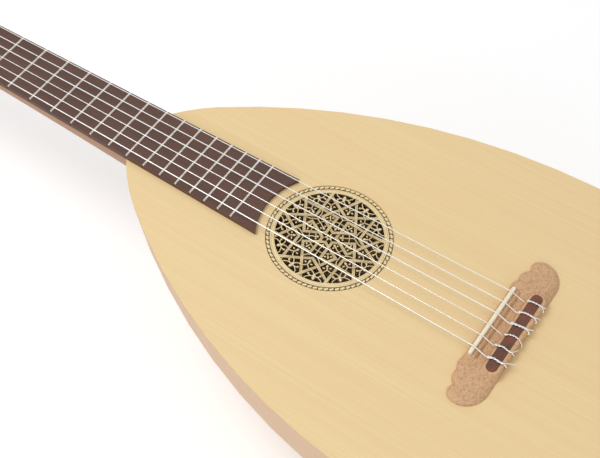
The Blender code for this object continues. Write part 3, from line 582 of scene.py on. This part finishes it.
def path_frames(path, up, closed):
    # For each point of a path, the directions across it and up.
    made = []
    last = len(path) - 1
    normal = up or (path[1] - path[0]).orthogonal().normalized()
    for i, spot in enumerate(path):
        before = spot - path[i - 1] if closed or i > 0 else path[1] - path[0]
        after = path[(i + 1) % len(path)] - spot if closed or i < last else spot - path[i - 1]
        before = before.normalized()
        after = after.normalized()
        if up:
            side = (before + after).cross(up).normalized()
            side = side / max(side.dot(before.cross(up).normalized()), 0.3)
        else:
            tangent = (before + after).normalized()
            normal = (normal - tangent * normal.dot(tangent)).normalized()
            side = tangent.cross(normal)
        made.append((side, normal.copy()))
    return made


def mark_depth(item, depths):
    layer = item.data.attributes.new("depth", "FLOAT", "POINT")
    for mark, depth in zip(layer.data, depths):
        mark.value = depth


def skinned(name, rings, closed=False):
    # Lays a grid over rows of points, each row a closed ring.
    rows = len(rings) + (1 if closed else 0)
    columns = len(rings[0]) + 1
    deselect()
    bpy.ops.mesh.primitive_grid_add(x_subdivisions=columns - 1, y_subdivisions=rows - 1, size=1.0)
    item = bpy.context.object
    item.name = name
    spots = []
    marks = []
    along = 0.0
    for r in range(rows):
        ring = rings[r % len(rings)]
        if r > 0:
            along += (ring[0] - rings[r - 1][0]).length
        around = 0.0
        for c in range(columns):
            if c > 0:
                around += (ring[c % len(ring)] - ring[c - 1]).length
            spots.append(ring[c % len(ring)])
            marks.append((along, around))
    for vertex, spot in zip(item.data.vertices, spots):
        vertex.co = spot
    layer = item.data.uv_layers.active.data
    for loop in item.data.loops:
        layer[loop.index].uv = marks[loop.vertex_index]
    return item


def swept(name, path, section, up=None, closed=False):
    # The section is a closed list of (across, rise) pairs, or a function that gives one for each
    # point of the path.
    rings = []
    depths = []
    for i, (side, normal) in enumerate(path_frames(path, up, closed)):
        pairs = section(i) if callable(section) else section
        rings.append([path[i] + side * across + normal * rise for across, rise in pairs])
        # How deep each point lies under the top of its section, which darkens carved wood as painted
        # shade.
        top = max(rise for _, rise in pairs)
        row = [top - rise for _, rise in pairs]
        depths.append(row + row[:1])
    item = skinned(name, rings, closed)
    mark_depth(item, [depth for row in depths + depths[:1] for depth in row])
    return edit(item, close_up)


def ring_section(radius, sides):
    return [(radius * cos(2 * pi * i / sides), radius * sin(2 * pi * i / sides)) for i in range(sides)]


def plate(name, outline, low, high, edge=0.0):
    # Flat piece from its outline in plan, in metres from the datum, with an eased edge.
    deselect()
    bpy.ops.mesh.primitive_circle_add(vertices=len(outline), radius=1.0, fill_type="NGON")
    item = bpy.context.object
    item.name = name
    for vertex, (x, y) in zip(item.data.vertices, outline):
        vertex.co = lute(x, y, low)

    def raise_up():
        bpy.ops.mesh.extrude_region_move(TRANSFORM_OT_translate={"value": (0, 0, high - low)})
        bpy.ops.mesh.select_all(action="SELECT")
        bpy.ops.mesh.normals_make_consistent(inside=False)

    edit(item, raise_up)
    return rounded(item, edge) if edge else item

# %% [markdown]
# ## The rose
# The rose is cut through the soundboard and then carved. Its pattern is the old lute makers' knot:
# bands that start from the rim, turn back near the middle and pass over and under each other in
# turn, with leaves on thin stems between them. It has six equal parts, so each form is modelled
# once and copied round. Lengths are in millimetres here, as on a drawing.

# %% The rose's drawing board
rose_low, rose_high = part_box("rose")
rose_x = (rose_low.x + rose_high.x) / 2 - datum.x
rose_radius = (rose_high.x - rose_low.x) / 2 * 1000
rose_floor = -2.2
rim_inner = 43.4
rim_outer = 47.1
rose_middle = lute(rose_x, 0.0, 0.0)


def spot(radius, angle):
    # A place on the rose from its radius in millimetres and its angle in degrees.
    turn = radians(angle)
    return Vector((rose_x * 1000 + radius * cos(turn), -radius * sin(turn), 0.0)) / 1000 + datum


def drawn(across, height):
    return Vector((rose_x * 1000 + across, -height, 0.0)) / 1000 + datum


def six_times(items, parts=6):
    everything = list(items)
    for n in range(1, parts):
        turn = Matrix.Rotation(2 * pi * n / parts, 4, "Z")
        matrix = Matrix.Translation(rose_middle) @ turn @ Matrix.Translation(-rose_middle)
        everything += [copied(item, matrix) for item in items]
    return everything


# %% [markdown]
# Two bands make the whole knot. The outer one is a wide V with its point towards the middle. The
# inner one starts at the rim, runs in, turns down, touches the central star and comes back the
# same way mirrored. All their lines lie at one of three distances from the middle. The order of
# over and under is worked out: along each band it changes at every crossing.

# %% Bands of the knot
outer_line = 20.6
inner_line = 20.3
core_line = 4.7
band_width = 2.35
end_radius = 45.0
band_high = -0.25
band_low = -1.05


def rim_end(x):
    return sqrt(end_radius**2 - x**2)


def with_mirror(points):
    # Adds the same points mirrored about the line at 30 degrees, on which the last one lies.
    turn = radians(60)
    other = [
        Vector((p.x * cos(turn) + p.y * sin(turn), p.x * sin(turn) - p.y * cos(turn)))
        for p in reversed(points[:-1])
    ]
    return points + other


outer_band = with_mirror([
    Vector((outer_line, rim_end(outer_line))),
    Vector((outer_line, outer_line * tan(radians(30)))),
])
inner_band = with_mirror([
    Vector((rim_end(inner_line), inner_line)),
    Vector((core_line, inner_line)),
    Vector((core_line, core_line * tan(radians(30)))),
])


def turned_plan(points, angle):
    turn = radians(angle)
    return [Vector((p.x * cos(turn) - p.y * sin(turn), p.x * sin(turn) + p.y * cos(turn))) for p in points]


def crossing(a, b, c, d):
    # Share of the way from a to b at which the stretch from c to d crosses, if it does.
    r = b - a
    s = d - c
    cross = r.x * s.y - r.y * s.x
    if abs(cross) < 1e-9:
        return None
    t = ((c.x - a.x) * s.y - (c.y - a.y) * s.x) / cross
    u = ((c.x - a.x) * r.y - (c.y - a.y) * r.x) / cross
    return t if 0.001 < t < 0.999 and 0.001 < u < 0.999 else None


all_bands = [turned_plan(plan, 60 * n) for plan in (outer_band, inner_band) for n in range(6)]


def crossings(plan):
    found = []
    travelled = 0.0
    for a, b in zip(plan, plan[1:]):
        for other in all_bands:
            for c, d in zip(other, other[1:]):
                share = crossing(a, b, c, d)
                if share is not None:
                    found.append(travelled + share * (b - a).length)
        travelled += (b - a).length
    return sorted(found)


def band_height(distance, places, starts_high):
    # Height of a band's top: high or low at each crossing, eased between two.
    signs = [(n % 2 == 0) == starts_high for n in range(len(places))]
    if distance <= places[0]:
        share = float(signs[0])
    elif distance >= places[-1]:
        share = float(signs[-1])
    else:
        n = max(i for i, p in enumerate(places) if p <= distance)
        t = (distance - places[n]) / (places[n + 1] - places[n])
        ease = t * t * (3 - 2 * t)
        share = float(signs[n]) * (1 - ease) + float(signs[n + 1]) * ease
    return band_low + (band_high - band_low) * share


def band_section(top, width):
    # Two ridges with a groove between them, and eased edges.
    half = width / 2
    profile = [
        (-half, rose_floor),
        (-half, top - 0.32),
        (-half * 0.80, top - 0.04),
        (-half * 0.42, top),
        (-half * 0.10, top - 0.26),
        (half * 0.10, top - 0.26),
        (half * 0.42, top),
        (half * 0.80, top - 0.04),
        (half, top - 0.32),
        (half, rose_floor),
    ]
    return [(a / 1000, b / 1000) for a, b in profile]


def lattice_band(name, plan, starts_high):
    places = crossings(plan)
    path = []
    heights = []
    travelled = 0.0
    for a, b in zip(plan, plan[1:]):
        steps = max(2, round((b - a).length / 1.1))
        for i in range(steps):
            path.append(drawn(*(a + (b - a) * i / steps)))
            heights.append(band_height(travelled + (b - a).length * i / steps, places, starts_high))
        travelled += (b - a).length
    path.append(drawn(*plan[-1]))
    heights.append(band_height(travelled, places, starts_high))
    print(name, "crosses", len(places), "times")
    return swept(name, path, lambda i: band_section(heights[i], band_width), up=Vector((0, 0, 1)))


knot = six_times([
    lattice_band("outer_band", outer_band, True),
    lattice_band("inner_band", inner_band, False),
])

# %% [markdown]
# ### Leaves
# Every leaf is a rounded lobe, a sphere drawn out to a drop and sunk by half. Three lobes make a
# small blossom, and the twelve large ones by the rim have curled arms as well. The stems are
# half-round strips through a few points chosen on the drawing.


# %% Lobes and stems
def lobe(radius, angle, heading, length, width, height=0.9):
    # Heading is counted from the outward direction, in degrees.
    deselect()
    bpy.ops.mesh.primitive_uv_sphere_add(segments=12, ring_count=8, radius=1.0)
    item = bpy.context.object
    for vertex in item.data.vertices:
        x, y, z = vertex.co
        swell = 1.0 - 0.28 * x
        vertex.co = (x * length / 2000, y * swell * width / 2000, z * height / 1000)
    # The depth under the lobe's top darkens its sides as painted shade.
    mark_depth(item, [(height / 1000 - vertex.co.z) * 0.7 for vertex in item.data.vertices])
    turn = Matrix.Rotation(-radians(angle + heading + 180), 4, "Z")
    item.data.transform(Matrix.Translation(spot(radius, angle) - Vector((0, 0, 0.00095))) @ turn)
    return smooth(item, 60)


stem_steps = 5


def stem_section(top, width):
    half = width / 2
    profile = [
        (-half, rose_floor + 0.3),
        (-half, top - 0.5),
        (-half * 0.7, top - 0.14),
        (0.0, top),
        (half * 0.7, top - 0.14),
        (half, top - 0.5),
        (half, rose_floor + 0.3),
    ]
    return [(a / 1000, b / 1000) for a, b in profile]


def stem(points, width=0.85, top=-0.12):
    path = curve_through([spot(r, a) for r, a in points], stem_steps)
    return swept("stem", path, stem_section(top, width), up=Vector((0, 0, 1)))


def both_sides(points, axis):
    # The same points on both sides of an axis, which is an angle in degrees.
    return [(r, axis + a) for r, a in points], [(r, axis - a) for r, a in points]


def blossom(axis, radius, inward, sizes, spread, lobe_size):
    # Big lobe towards the middle or the rim, and two small ones across.
    sign = -1 if inward else 1
    length, width = sizes
    items = [lobe(radius + sign * length * 0.62, axis, 0 if inward else 180, length, width)]
    side_angle = degrees(spread / radius)
    for side in (1, -1):
        items.append(lobe(radius, axis + side * side_angle, side * -90, *lobe_size))
    items.append(lobe(radius + 0.1, axis, 0, 2.6, 1.5, 0.8))
    return items


# %% Blossoms by the rim
axis = 15
palmette = [
    lobe(40.8, axis, 180, 3.6, 2.9),
    lobe(38.2, axis, 180, 4.0, 2.3),
]
for points in both_sides([(38.6, 0.6), (39.2, 2.6), (39.1, 4.6), (38.5, 6.3), (37.9, 7.3)], axis):
    palmette.append(stem(points, 1.0))
for points in both_sides([(39.2, 4.4), (40.6, 7.0), (41.8, 8.6), (44.2, 9.6)], axis):
    palmette.append(stem(points, 0.8))
long_arm = [(37.2, 0.6), (35.7, 2.2), (34.6, 4.6), (34.1, 7.6), (33.3, 10.9), (31.2, 14.8)]
for points in both_sides(long_arm, axis):
    palmette.append(stem(points, 0.85))
for side in (1, -1):
    palmette.append(lobe(37.7, axis + side * 7.6, side * -150, 2.2, 1.8))
palmette += blossom(0, 29.7, True, (3.3, 2.3), 2.7, (2.5, 1.5))
leaves = six_times(palmette, 12)

# %% Blossoms in the middle
inner = []
for points in both_sides([(19.4, 0.0), (20.6, 3.0), (22.2, 8.8), (24.2, 13.8), (27.6, 16.6)], 30):
    inner.append(stem(points, 0.85))
inner.append(stem([(15.4, 30), (17.4, 30), (19.9, 30)], 0.85))
inner.append(stem([(12.0, 30), (13.4, 31.2), (14.6, 30.6), (15.9, 29)], 0.85))
inner += blossom(30, 10.8, True, (2.7, 2.3), 2.0, (2.0, 1.7))
inner += blossom(0, 18.8, False, (1.9, 1.5), 2.45, (2.5, 1.6))
inner.append(stem([(15.4, 0), (17.0, 0.8), (18.6, 0)], 0.85))
inner.append(lobe(2.2, 30, 180, 3.0, 1.9, 0.8))
inner.append(stem([(3.0, 30), (5.2, 30)], 0.7, top=-0.7))
leaves += six_times(inner)
circle = [spot(15.9, 3.0 * n) for n in range(120)]
leaves.append(swept("circle", circle, stem_section(-0.4, 0.85), up=Vector((0, 0, 1)), closed=True))

# %% [markdown]
# ### Rim
# Round the knot runs a plain ring with two cut lines, and round that a rope: seventy-two short
# strands that lean over, each a rounded pillow in a dark groove.

# %% Ring and rope
strand_count = 72
rope_radius = 48.85
rope_lean = radians(17)
ring_middle = [spot((rim_inner + rim_outer) / 2, 360 * n / 144) for n in range(144)]
ring_half = (rim_outer - rim_inner) / 2
ring_profile = [
    (-ring_half, rose_floor),
    (-ring_half, -0.55),
    (-ring_half + 0.3, -0.2),
    (-0.85, -0.15),
    (-0.6, -0.45),
    (-0.35, -0.15),
    (0.75, -0.12),
    (1.0, -0.4),
    (1.25, -0.12),
    (ring_half - 0.2, -0.12),
    (ring_half, -0.35),
    (ring_half, rose_floor),
]
ring_profile = [(a / 1000, b / 1000) for a, b in ring_profile]
ring = swept("ring", ring_middle, ring_profile, up=Vector((0, 0, 1)), closed=True)
groove_half = (rose_radius - rim_outer) / 2
groove_middle = [spot(rim_outer + groove_half, 360 * n / 144) for n in range(144)]
groove_profile = [
    (-groove_half, rose_floor),
    (-groove_half, -1.2),
    (groove_half, -1.2),
    (groove_half, rose_floor),
]
groove_profile = [(a / 1000, b / 1000) for a, b in groove_profile]
groove = swept("groove", groove_middle, groove_profile, up=Vector((0, 0, 1)), closed=True)


def strand(angle):
    deselect()
    bpy.ops.mesh.primitive_cube_add(size=1.0)
    item = bpy.context.object
    item.scale = (0.00235, 0.00400, 0.0018)
    settled(item)
    apply_modifier(item, "BEVEL", width=0.00085, segments=3, limit_method="NONE")
    # The depth under the strand's top darkens its sides as painted shade.
    mark_depth(item, [0.0009 - vertex.co.z for vertex in item.data.vertices])
    turn = Matrix.Rotation(rope_lean - radians(angle), 4, "Z")
    item.data.transform(Matrix.Translation(spot(rope_radius, angle) - Vector((0, 0, 0.0009))) @ turn)
    return smooth(item, 60)


rope = six_times([strand(360 / strand_count * n) for n in range(strand_count // 6)])

# %% The rose as one piece
for item in knot + leaves + [ring] + rope:
    paint(smooth(item, 40), rose_spruce)
paint(groove, dark_floor)
rose_carving = joined("rose_carving", [ring] + knot + leaves + rope + [groove])
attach(rose_carving, "lute")
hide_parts("rose")
print("rose carving:", len(rose_carving.data.polygons), "faces")

# %% [markdown]
# ## The bridge
# The bridge is carved from one block: a tie block at the back with a dark inlay, a channel, a low
# wall that holds the saddle, and two thin wings with scalloped fronts. Such a form is easiest
# as heights over its plan, the highest of three simple ones at each place: a dome that thins
# towards the outline, and two flat tables with sloping sides round the inlay and the saddle.

# %% Plan of the bridge, in millimetres from the datum
bridge_low, bridge_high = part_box("bridge")
bridge_reach = bridge_high.y * 1000
bridge_rear = (bridge_low.x - datum.x) * 1000
bridge_front = 3.0
scallop_start = 33.5
scallop_middle = 46.8
scallop_end = 58.9
inlay_low, inlay_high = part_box("tie_block_inlay")
inlay_x = ((inlay_low.x + inlay_high.x) / 2 - datum.x) * 1000
inlay_half = (inlay_high.x - inlay_low.x) * 500
inlay_run = inlay_high.y * 1000 - inlay_half
tie_top = (inlay_high.z - datum.z) * 1000
saddle_half = (saddle_high.x - saddle_low.x) * 500
saddle_run = saddle_high.y * 1000 - saddle_half
land_top = 6.8
channel_floor = 4.0
wing_top = 4.7
wing_edge = 1.3
lobe_x = -9.0
lobe_y = 64.0


def ease(t):
    t = min(max(t, 0.0), 1.0)
    return t * t * (3 - 2 * t)


def wing_front(y):
    # Front edge: straight along the saddle, two scallops, then the round end lobe.
    w = abs(y)
    if w < scallop_middle:
        t = max(0.0, (w - scallop_start) / (scallop_middle - scallop_start))
        return bridge_front + 1.8 * sin(pi * t) - 0.6 * t**3
    if w < scallop_end:
        t = (w - scallop_middle) / (scallop_end - scallop_middle)
        return 2.2 + 0.9 * sin(pi * t) - 3.6 * t**3
    rise = (w - lobe_y) / (bridge_reach - lobe_y)
    return lobe_x + 9.0 * sqrt(max(0.0, 1 - min(rise * rise, 1.0)))


def wing_rear(y):
    w = abs(y)
    start = 52.0
    if w < start:
        return bridge_rear
    rise = (w - start) / (bridge_reach - start)
    return lobe_x - (lobe_x - bridge_rear) * sqrt(max(0.0, 1 - min(rise * rise, 1.0)))


def table(x, y, centre, run, half, top, slope):
    # Flat table round a stretch of length along Y, with round ends and sloping sides.
    away = sqrt((x - centre) ** 2 + max(0.0, abs(y) - run) ** 2) - half
    fall = max(0.0, away)
    return top - slope * fall + 0.25 * slope * min(fall, 0.5)


def bridge_height(x, y):
    rear = wing_rear(y)
    front = wing_front(y)
    edge = min(x - rear, front - x, (bridge_reach - abs(y)) * 1.2)
    dome = 1 - (1 - min(max(edge, 0.0) / 6.5, 1.0)) ** 2
    middle = channel_floor + (wing_top - channel_floor) * ease((abs(y) - 28.0) / 12.0)
    fall = 1 - 0.25 * ease((abs(y) - 44.0) / 24.0)
    height = wing_edge + (middle * fall - wing_edge) * dome
    wide = 0.84 if x < inlay_x else 1.0
    tie_x = inlay_x + (x - inlay_x) * wide
    height = max(height, table(tie_x, y, inlay_x, inlay_run, inlay_half + 1.25, tie_top, 2.2))
    saddle_x = x * (0.62 if x < 0 else 1.0)
    return max(height, table(saddle_x, y, 0.0, saddle_run, saddle_half + 0.95, land_top, 2.3))


# %% Bridge
bridge_rows = 260
bridge_columns = 96
bridge_rings = []
for r in range(bridge_rows + 1):
    turn = pi * r / bridge_rows
    y = bridge_reach * -cos(turn) * (0.94 + 0.06 * sin(turn) ** 2) / 0.94
    y = max(-bridge_reach, min(bridge_reach, y))
    rear = wing_rear(y)
    front = max(wing_front(y), rear)
    ring = [lute(rear / 1000, y / 1000, 0.0003)]
    for c in range(bridge_columns + 1):
        x = rear + (front - rear) * c / bridge_columns
        ring.append(lute(x / 1000, y / 1000, bridge_height(x, y) / 1000))
    ring.append(lute(front / 1000, y / 1000, 0.0003))
    bridge_rings.append(ring)
bridge = edit(skinned("carved_bridge", bridge_rings), close_up)
paint(smooth(bridge, 50), lacewood)


# %% Inlay and saddle
def stadium(centre, run, half, steps):
    # Outline of a strip along Y with round ends, in metres.
    points = []
    for side in (1, -1):
        for i in range(steps + 1):
            turn = pi * i / steps
            points.append((centre + side * half * cos(turn), side * (run + half * sin(turn))))
    return [(x / 1000, y / 1000) for x, y in points]


inlay_plan = stadium(inlay_x, inlay_run, inlay_half, 16)
inlay = plate("tie_inlay", inlay_plan, (tie_top - 0.8) / 1000, (tie_top + 0.06) / 1000, 0.0002)
paint(smooth(inlay), inlay_wood)
saddle_plan = stadium(0.0, saddle_run, saddle_half, 12)
saddle = plate("bone_saddle", saddle_plan, (land_top - 3.0) / 1000, saddle_high.z - datum.z, 0.0008)
paint(smooth(saddle, 50), bone)
for piece, solid, slot in (
    (bridge, "bridge", "bridge_lacewood"),
    (inlay, "tie_block_inlay", "rosewood"),
    (saddle, "saddle", "bone"),
):
    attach(piece, "lute")
    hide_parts(solid)
print("bridge:", len(bridge.data.polygons), "faces")

# %% [markdown]
# ## Strings
# Each string is tied behind its own hole: it comes through from the channel, turns up round the
# back of the tie block, lies over the inlay twisted with its own end, and is knotted round itself
# at the front. From there it runs over the saddle and the nut to the turns round its roller. The
# knots were tied by hand, so each has its own few points.

# %% String sizes and lines, in millimetres
string_sizes = (1.10, 0.90, 0.76, 1.00, 0.84, 0.74)
saddle_spread = 57.2
nut_spread = 42.4
hole_height = 5.2
head_angle = radians(15)
roller_places = (45.0, 80.0, 115.0)
roller_radius = 5.0
roller_depth = -10.0
coil_entries = (15.0, 12.5, 9.5)
coil_turns = 2.0
coil_space = 0.45
nut_low, nut_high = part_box("nut")
scale_length = (nut_low.x - datum.x) * 1000 - 0.3
nut_back = scale_length + 5.0
string_rise = (saddle_high.z - datum.z) * 1000 + 0.3
nut_rise = (nut_high.z - datum.z) * 1000 - 0.3
# Twist of each string over the inlay, from the knot to the back, as (x, y)
twists = (
    ((-12.9, 29.6), (-16.4, 28.2), (-21.2, 28.5), (-25.0, 28.1)),
    ((-12.6, 17.4), (-17.2, 15.9), (-21.3, 16.7), (-25.0, 16.7)),
    ((-13.9, 5.9), (-16.2, 4.0), (-20.0, 3.2), (-24.2, 3.9)),
    ((-13.3, -5.5), (-18.3, -6.5), (-22.0, -6.9), (-24.9, -7.0)),
    ((-13.3, -16.9), (-16.2, -18.7), (-20.1, -19.0), (-24.8, -18.8)),
    ((-14.3, -29.6), (-17.0, -30.5), (-21.0, -30.8), (-24.8, -30.3)),
)
# Free ends behind the bridge, as (x, y, height)
tails = (
    ((-25.2, 27.2, 8.4), (-28.0, 24.9, 7.4), (-31.0, 22.6, 5.6)),
    ((-25.2, 16.0, 8.4), (-26.6, 13.4, 7.8), (-27.4, 11.2, 6.6)),
    ((-25.2, 4.6, 8.3), (-27.6, 6.2, 6.6), (-28.2, 7.4, 4.6)),
    ((-25.2, -7.4, 8.4), (-27.0, -8.6, 7.6), (-28.6, -10.2, 6.2)),
    ((-25.2, -19.2, 8.4), (-27.0, -20.4, 7.4), (-28.0, -21.2, 6.0)),
    ((-25.2, -30.6, 8.3), (-26.8, -31.4, 7.2), (-27.4, -32.2, 6.0)),
)


def millimetres(points):
    return [lute(x / 1000, y / 1000, z / 1000) for x, y, z in points]


def string_y(n, spread):
    return spread / 2 - spread * n / 5


def head_point(u, y, n):
    # A place given along the head, across it and above it.
    x = nut_back + u * cos(head_angle) + n * sin(head_angle)
    return (x, y, n * cos(head_angle) - u * sin(head_angle))


def speaking_length(n):
    # From inside the hole, over the saddle and the nut.
    radius = string_sizes[n] / 2
    y = string_y(n, saddle_spread)
    y_nut = string_y(n, nut_spread)
    points = [(-24.0, y, hole_height), (-13.0, y, hole_height), (-12.0, y, hole_height + 0.2)]
    rise = string_rise + radius
    points += [(-1.9, y, rise - 0.7), (-0.7, y, rise - 0.08), (0.6, y, rise)]
    end = nut_rise + radius
    for t in (0.2, 0.4, 0.6, 0.8):
        points.append((scale_length * t, y + (y_nut - y) * t, rise + (end - rise) * t))
    points += [(scale_length, y_nut, end), (nut_back - 0.3, y_nut, end - 5.0 * tan(head_angle) * 0.7)]
    return points


def coil(n):
    # Turns round the roller, entered on the line that touches it from the nut.
    radius = string_sizes[n] / 2
    side = 1 if n < 3 else -1
    place = n % 3 if side > 0 else 2 - n % 3
    u0 = roller_places[place]
    pitch = 2 * radius + coil_space
    reach = roller_radius + 0.3 + radius
    x, _, z = speaking_length(n)[-1]
    start_u = (x - nut_back) * cos(head_angle) - z * sin(head_angle)
    start_n = (x - nut_back) * sin(head_angle) + z * cos(head_angle)
    away = sqrt((u0 - start_u) ** 2 + (roller_depth - start_n) ** 2)
    lean = atan2(roller_depth - start_n, u0 - start_u) + asin(reach / away)
    run = sqrt(away**2 - reach**2)
    first = atan2(start_u + run * cos(lean) - u0, start_n + run * sin(lean) - roller_depth)
    points = []
    for i in range(round(coil_turns * 32) + 1):
        turn = first + 2 * pi * i / 32
        out = side * (coil_entries[place] + pitch * i / 32)
        points.append(head_point(u0 + reach * sin(turn), out, roller_depth + reach * cos(turn)))
    return points


def tube(name, points, diameter):
    return swept(name, points, ring_section(diameter / 2000, 10))


def twisted_pair(n):
    # The string and its end, wound round each other over the inlay.
    radius = string_sizes[n] / 2
    top = tie_top + 0.1 + radius * 1.7
    line = [(x, y, top + (0.5 if i == 0 else 0.0)) for i, (x, y) in enumerate(twists[n])]
    middle = curve_through(millimetres(line), 14)
    made = []
    for phase in (0, pi):
        strand = []
        for i, spot in enumerate(middle):
            turn = phase + 2 * pi * i / 17
            strand.append(spot + Vector((0, cos(turn), sin(turn))) * radius * 0.85 / 1000)
        made.append(tube("strand", strand, string_sizes[n] * 0.92))
    return made


def loop_behind(n):
    # From the end of the twist, down behind the tie block and into the hole.
    y = string_y(n, saddle_spread)
    radius = string_sizes[n] / 2
    back = bridge_rear - 0.5 - radius
    x, near_y = twists[n][-1]
    line = [
        (x + 0.4, near_y, tie_top + 0.2 + radius),
        (back + 0.7, near_y * 0.4 + y * 0.6, tie_top - 0.3),
        (back, y, hole_height + 0.8),
        (back + 0.8, y, hole_height),
        (back + 3.0, y, hole_height),
    ]
    return tube("loop", curve_through(millimetres(line), 6), string_sizes[n])


def knot(n):
    # Two turns round the string at the front of the inlay.
    radius = string_sizes[n] / 2
    x, y = twists[n][0]
    line = []
    for i in range(45):
        turn = 2 * pi * i / 20
        swell = radius * (1.9 - 0.3 * cos(turn * 0.5))
        along = (i / 44 - 0.5) * radius * 4.2
        line.append((x + along + 0.3, y + swell * cos(turn), tie_top + 0.9 + swell * sin(turn)))
    return tube("knot", millimetres(line), string_sizes[n] * 0.9)


# %% Make the strings
for n in range(6):
    run = speaking_length(n)
    coils = coil(n)
    pieces = [tube("run", millimetres(run + coils), string_sizes[n])]
    pieces += twisted_pair(n)
    pieces += [loop_behind(n), knot(n)]
    pieces.append(tube("tail", curve_through(millimetres(tails[n]), 6), string_sizes[n] * 0.9))
    string = joined(f"strung_{n + 1}", pieces)
    paint(smooth(string, 60), silver_winding if n < 3 else nylon)
    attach(string, "lute")
    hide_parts(f"string_{n + 1}")
print("six strings,", round(scale_length), "mm from saddle to nut")

# %% Dress the solids that stay
finishes = {
    "soundboard": spruce,
    "rose": spruce,
    "end_clasp": rib_wood,
    "tail_block": inner_wood,
    "neck_block": inner_wood,
    "neck": neck_wood,
    "headstock": neck_wood,
    "fingerboard": rosewood,
    "nut": bone,
    "bridge": lacewood,
    "tie_block_inlay": rosewood,
    "saddle": bone,
    "tuner_plate_bass": brass,
    "tuner_plate_treble": brass,
}
families = {"rib_": rib_wood, "fret_": nickel, "roller_": brass, "tuner_knob_": ivoroid}
for name, item in nodes.items():
    finish = finishes.get(name)
    for start, material in families.items():
        if name.startswith(start):
            finish = material
    if name.startswith("string_"):
        finish = silver_winding if int(name[-1]) < 4 else nylon
    item.data.materials.clear()
    item.data.materials.append(finish)

# %% Finish
bpy.context.scene.view_settings.view_transform = "Standard"
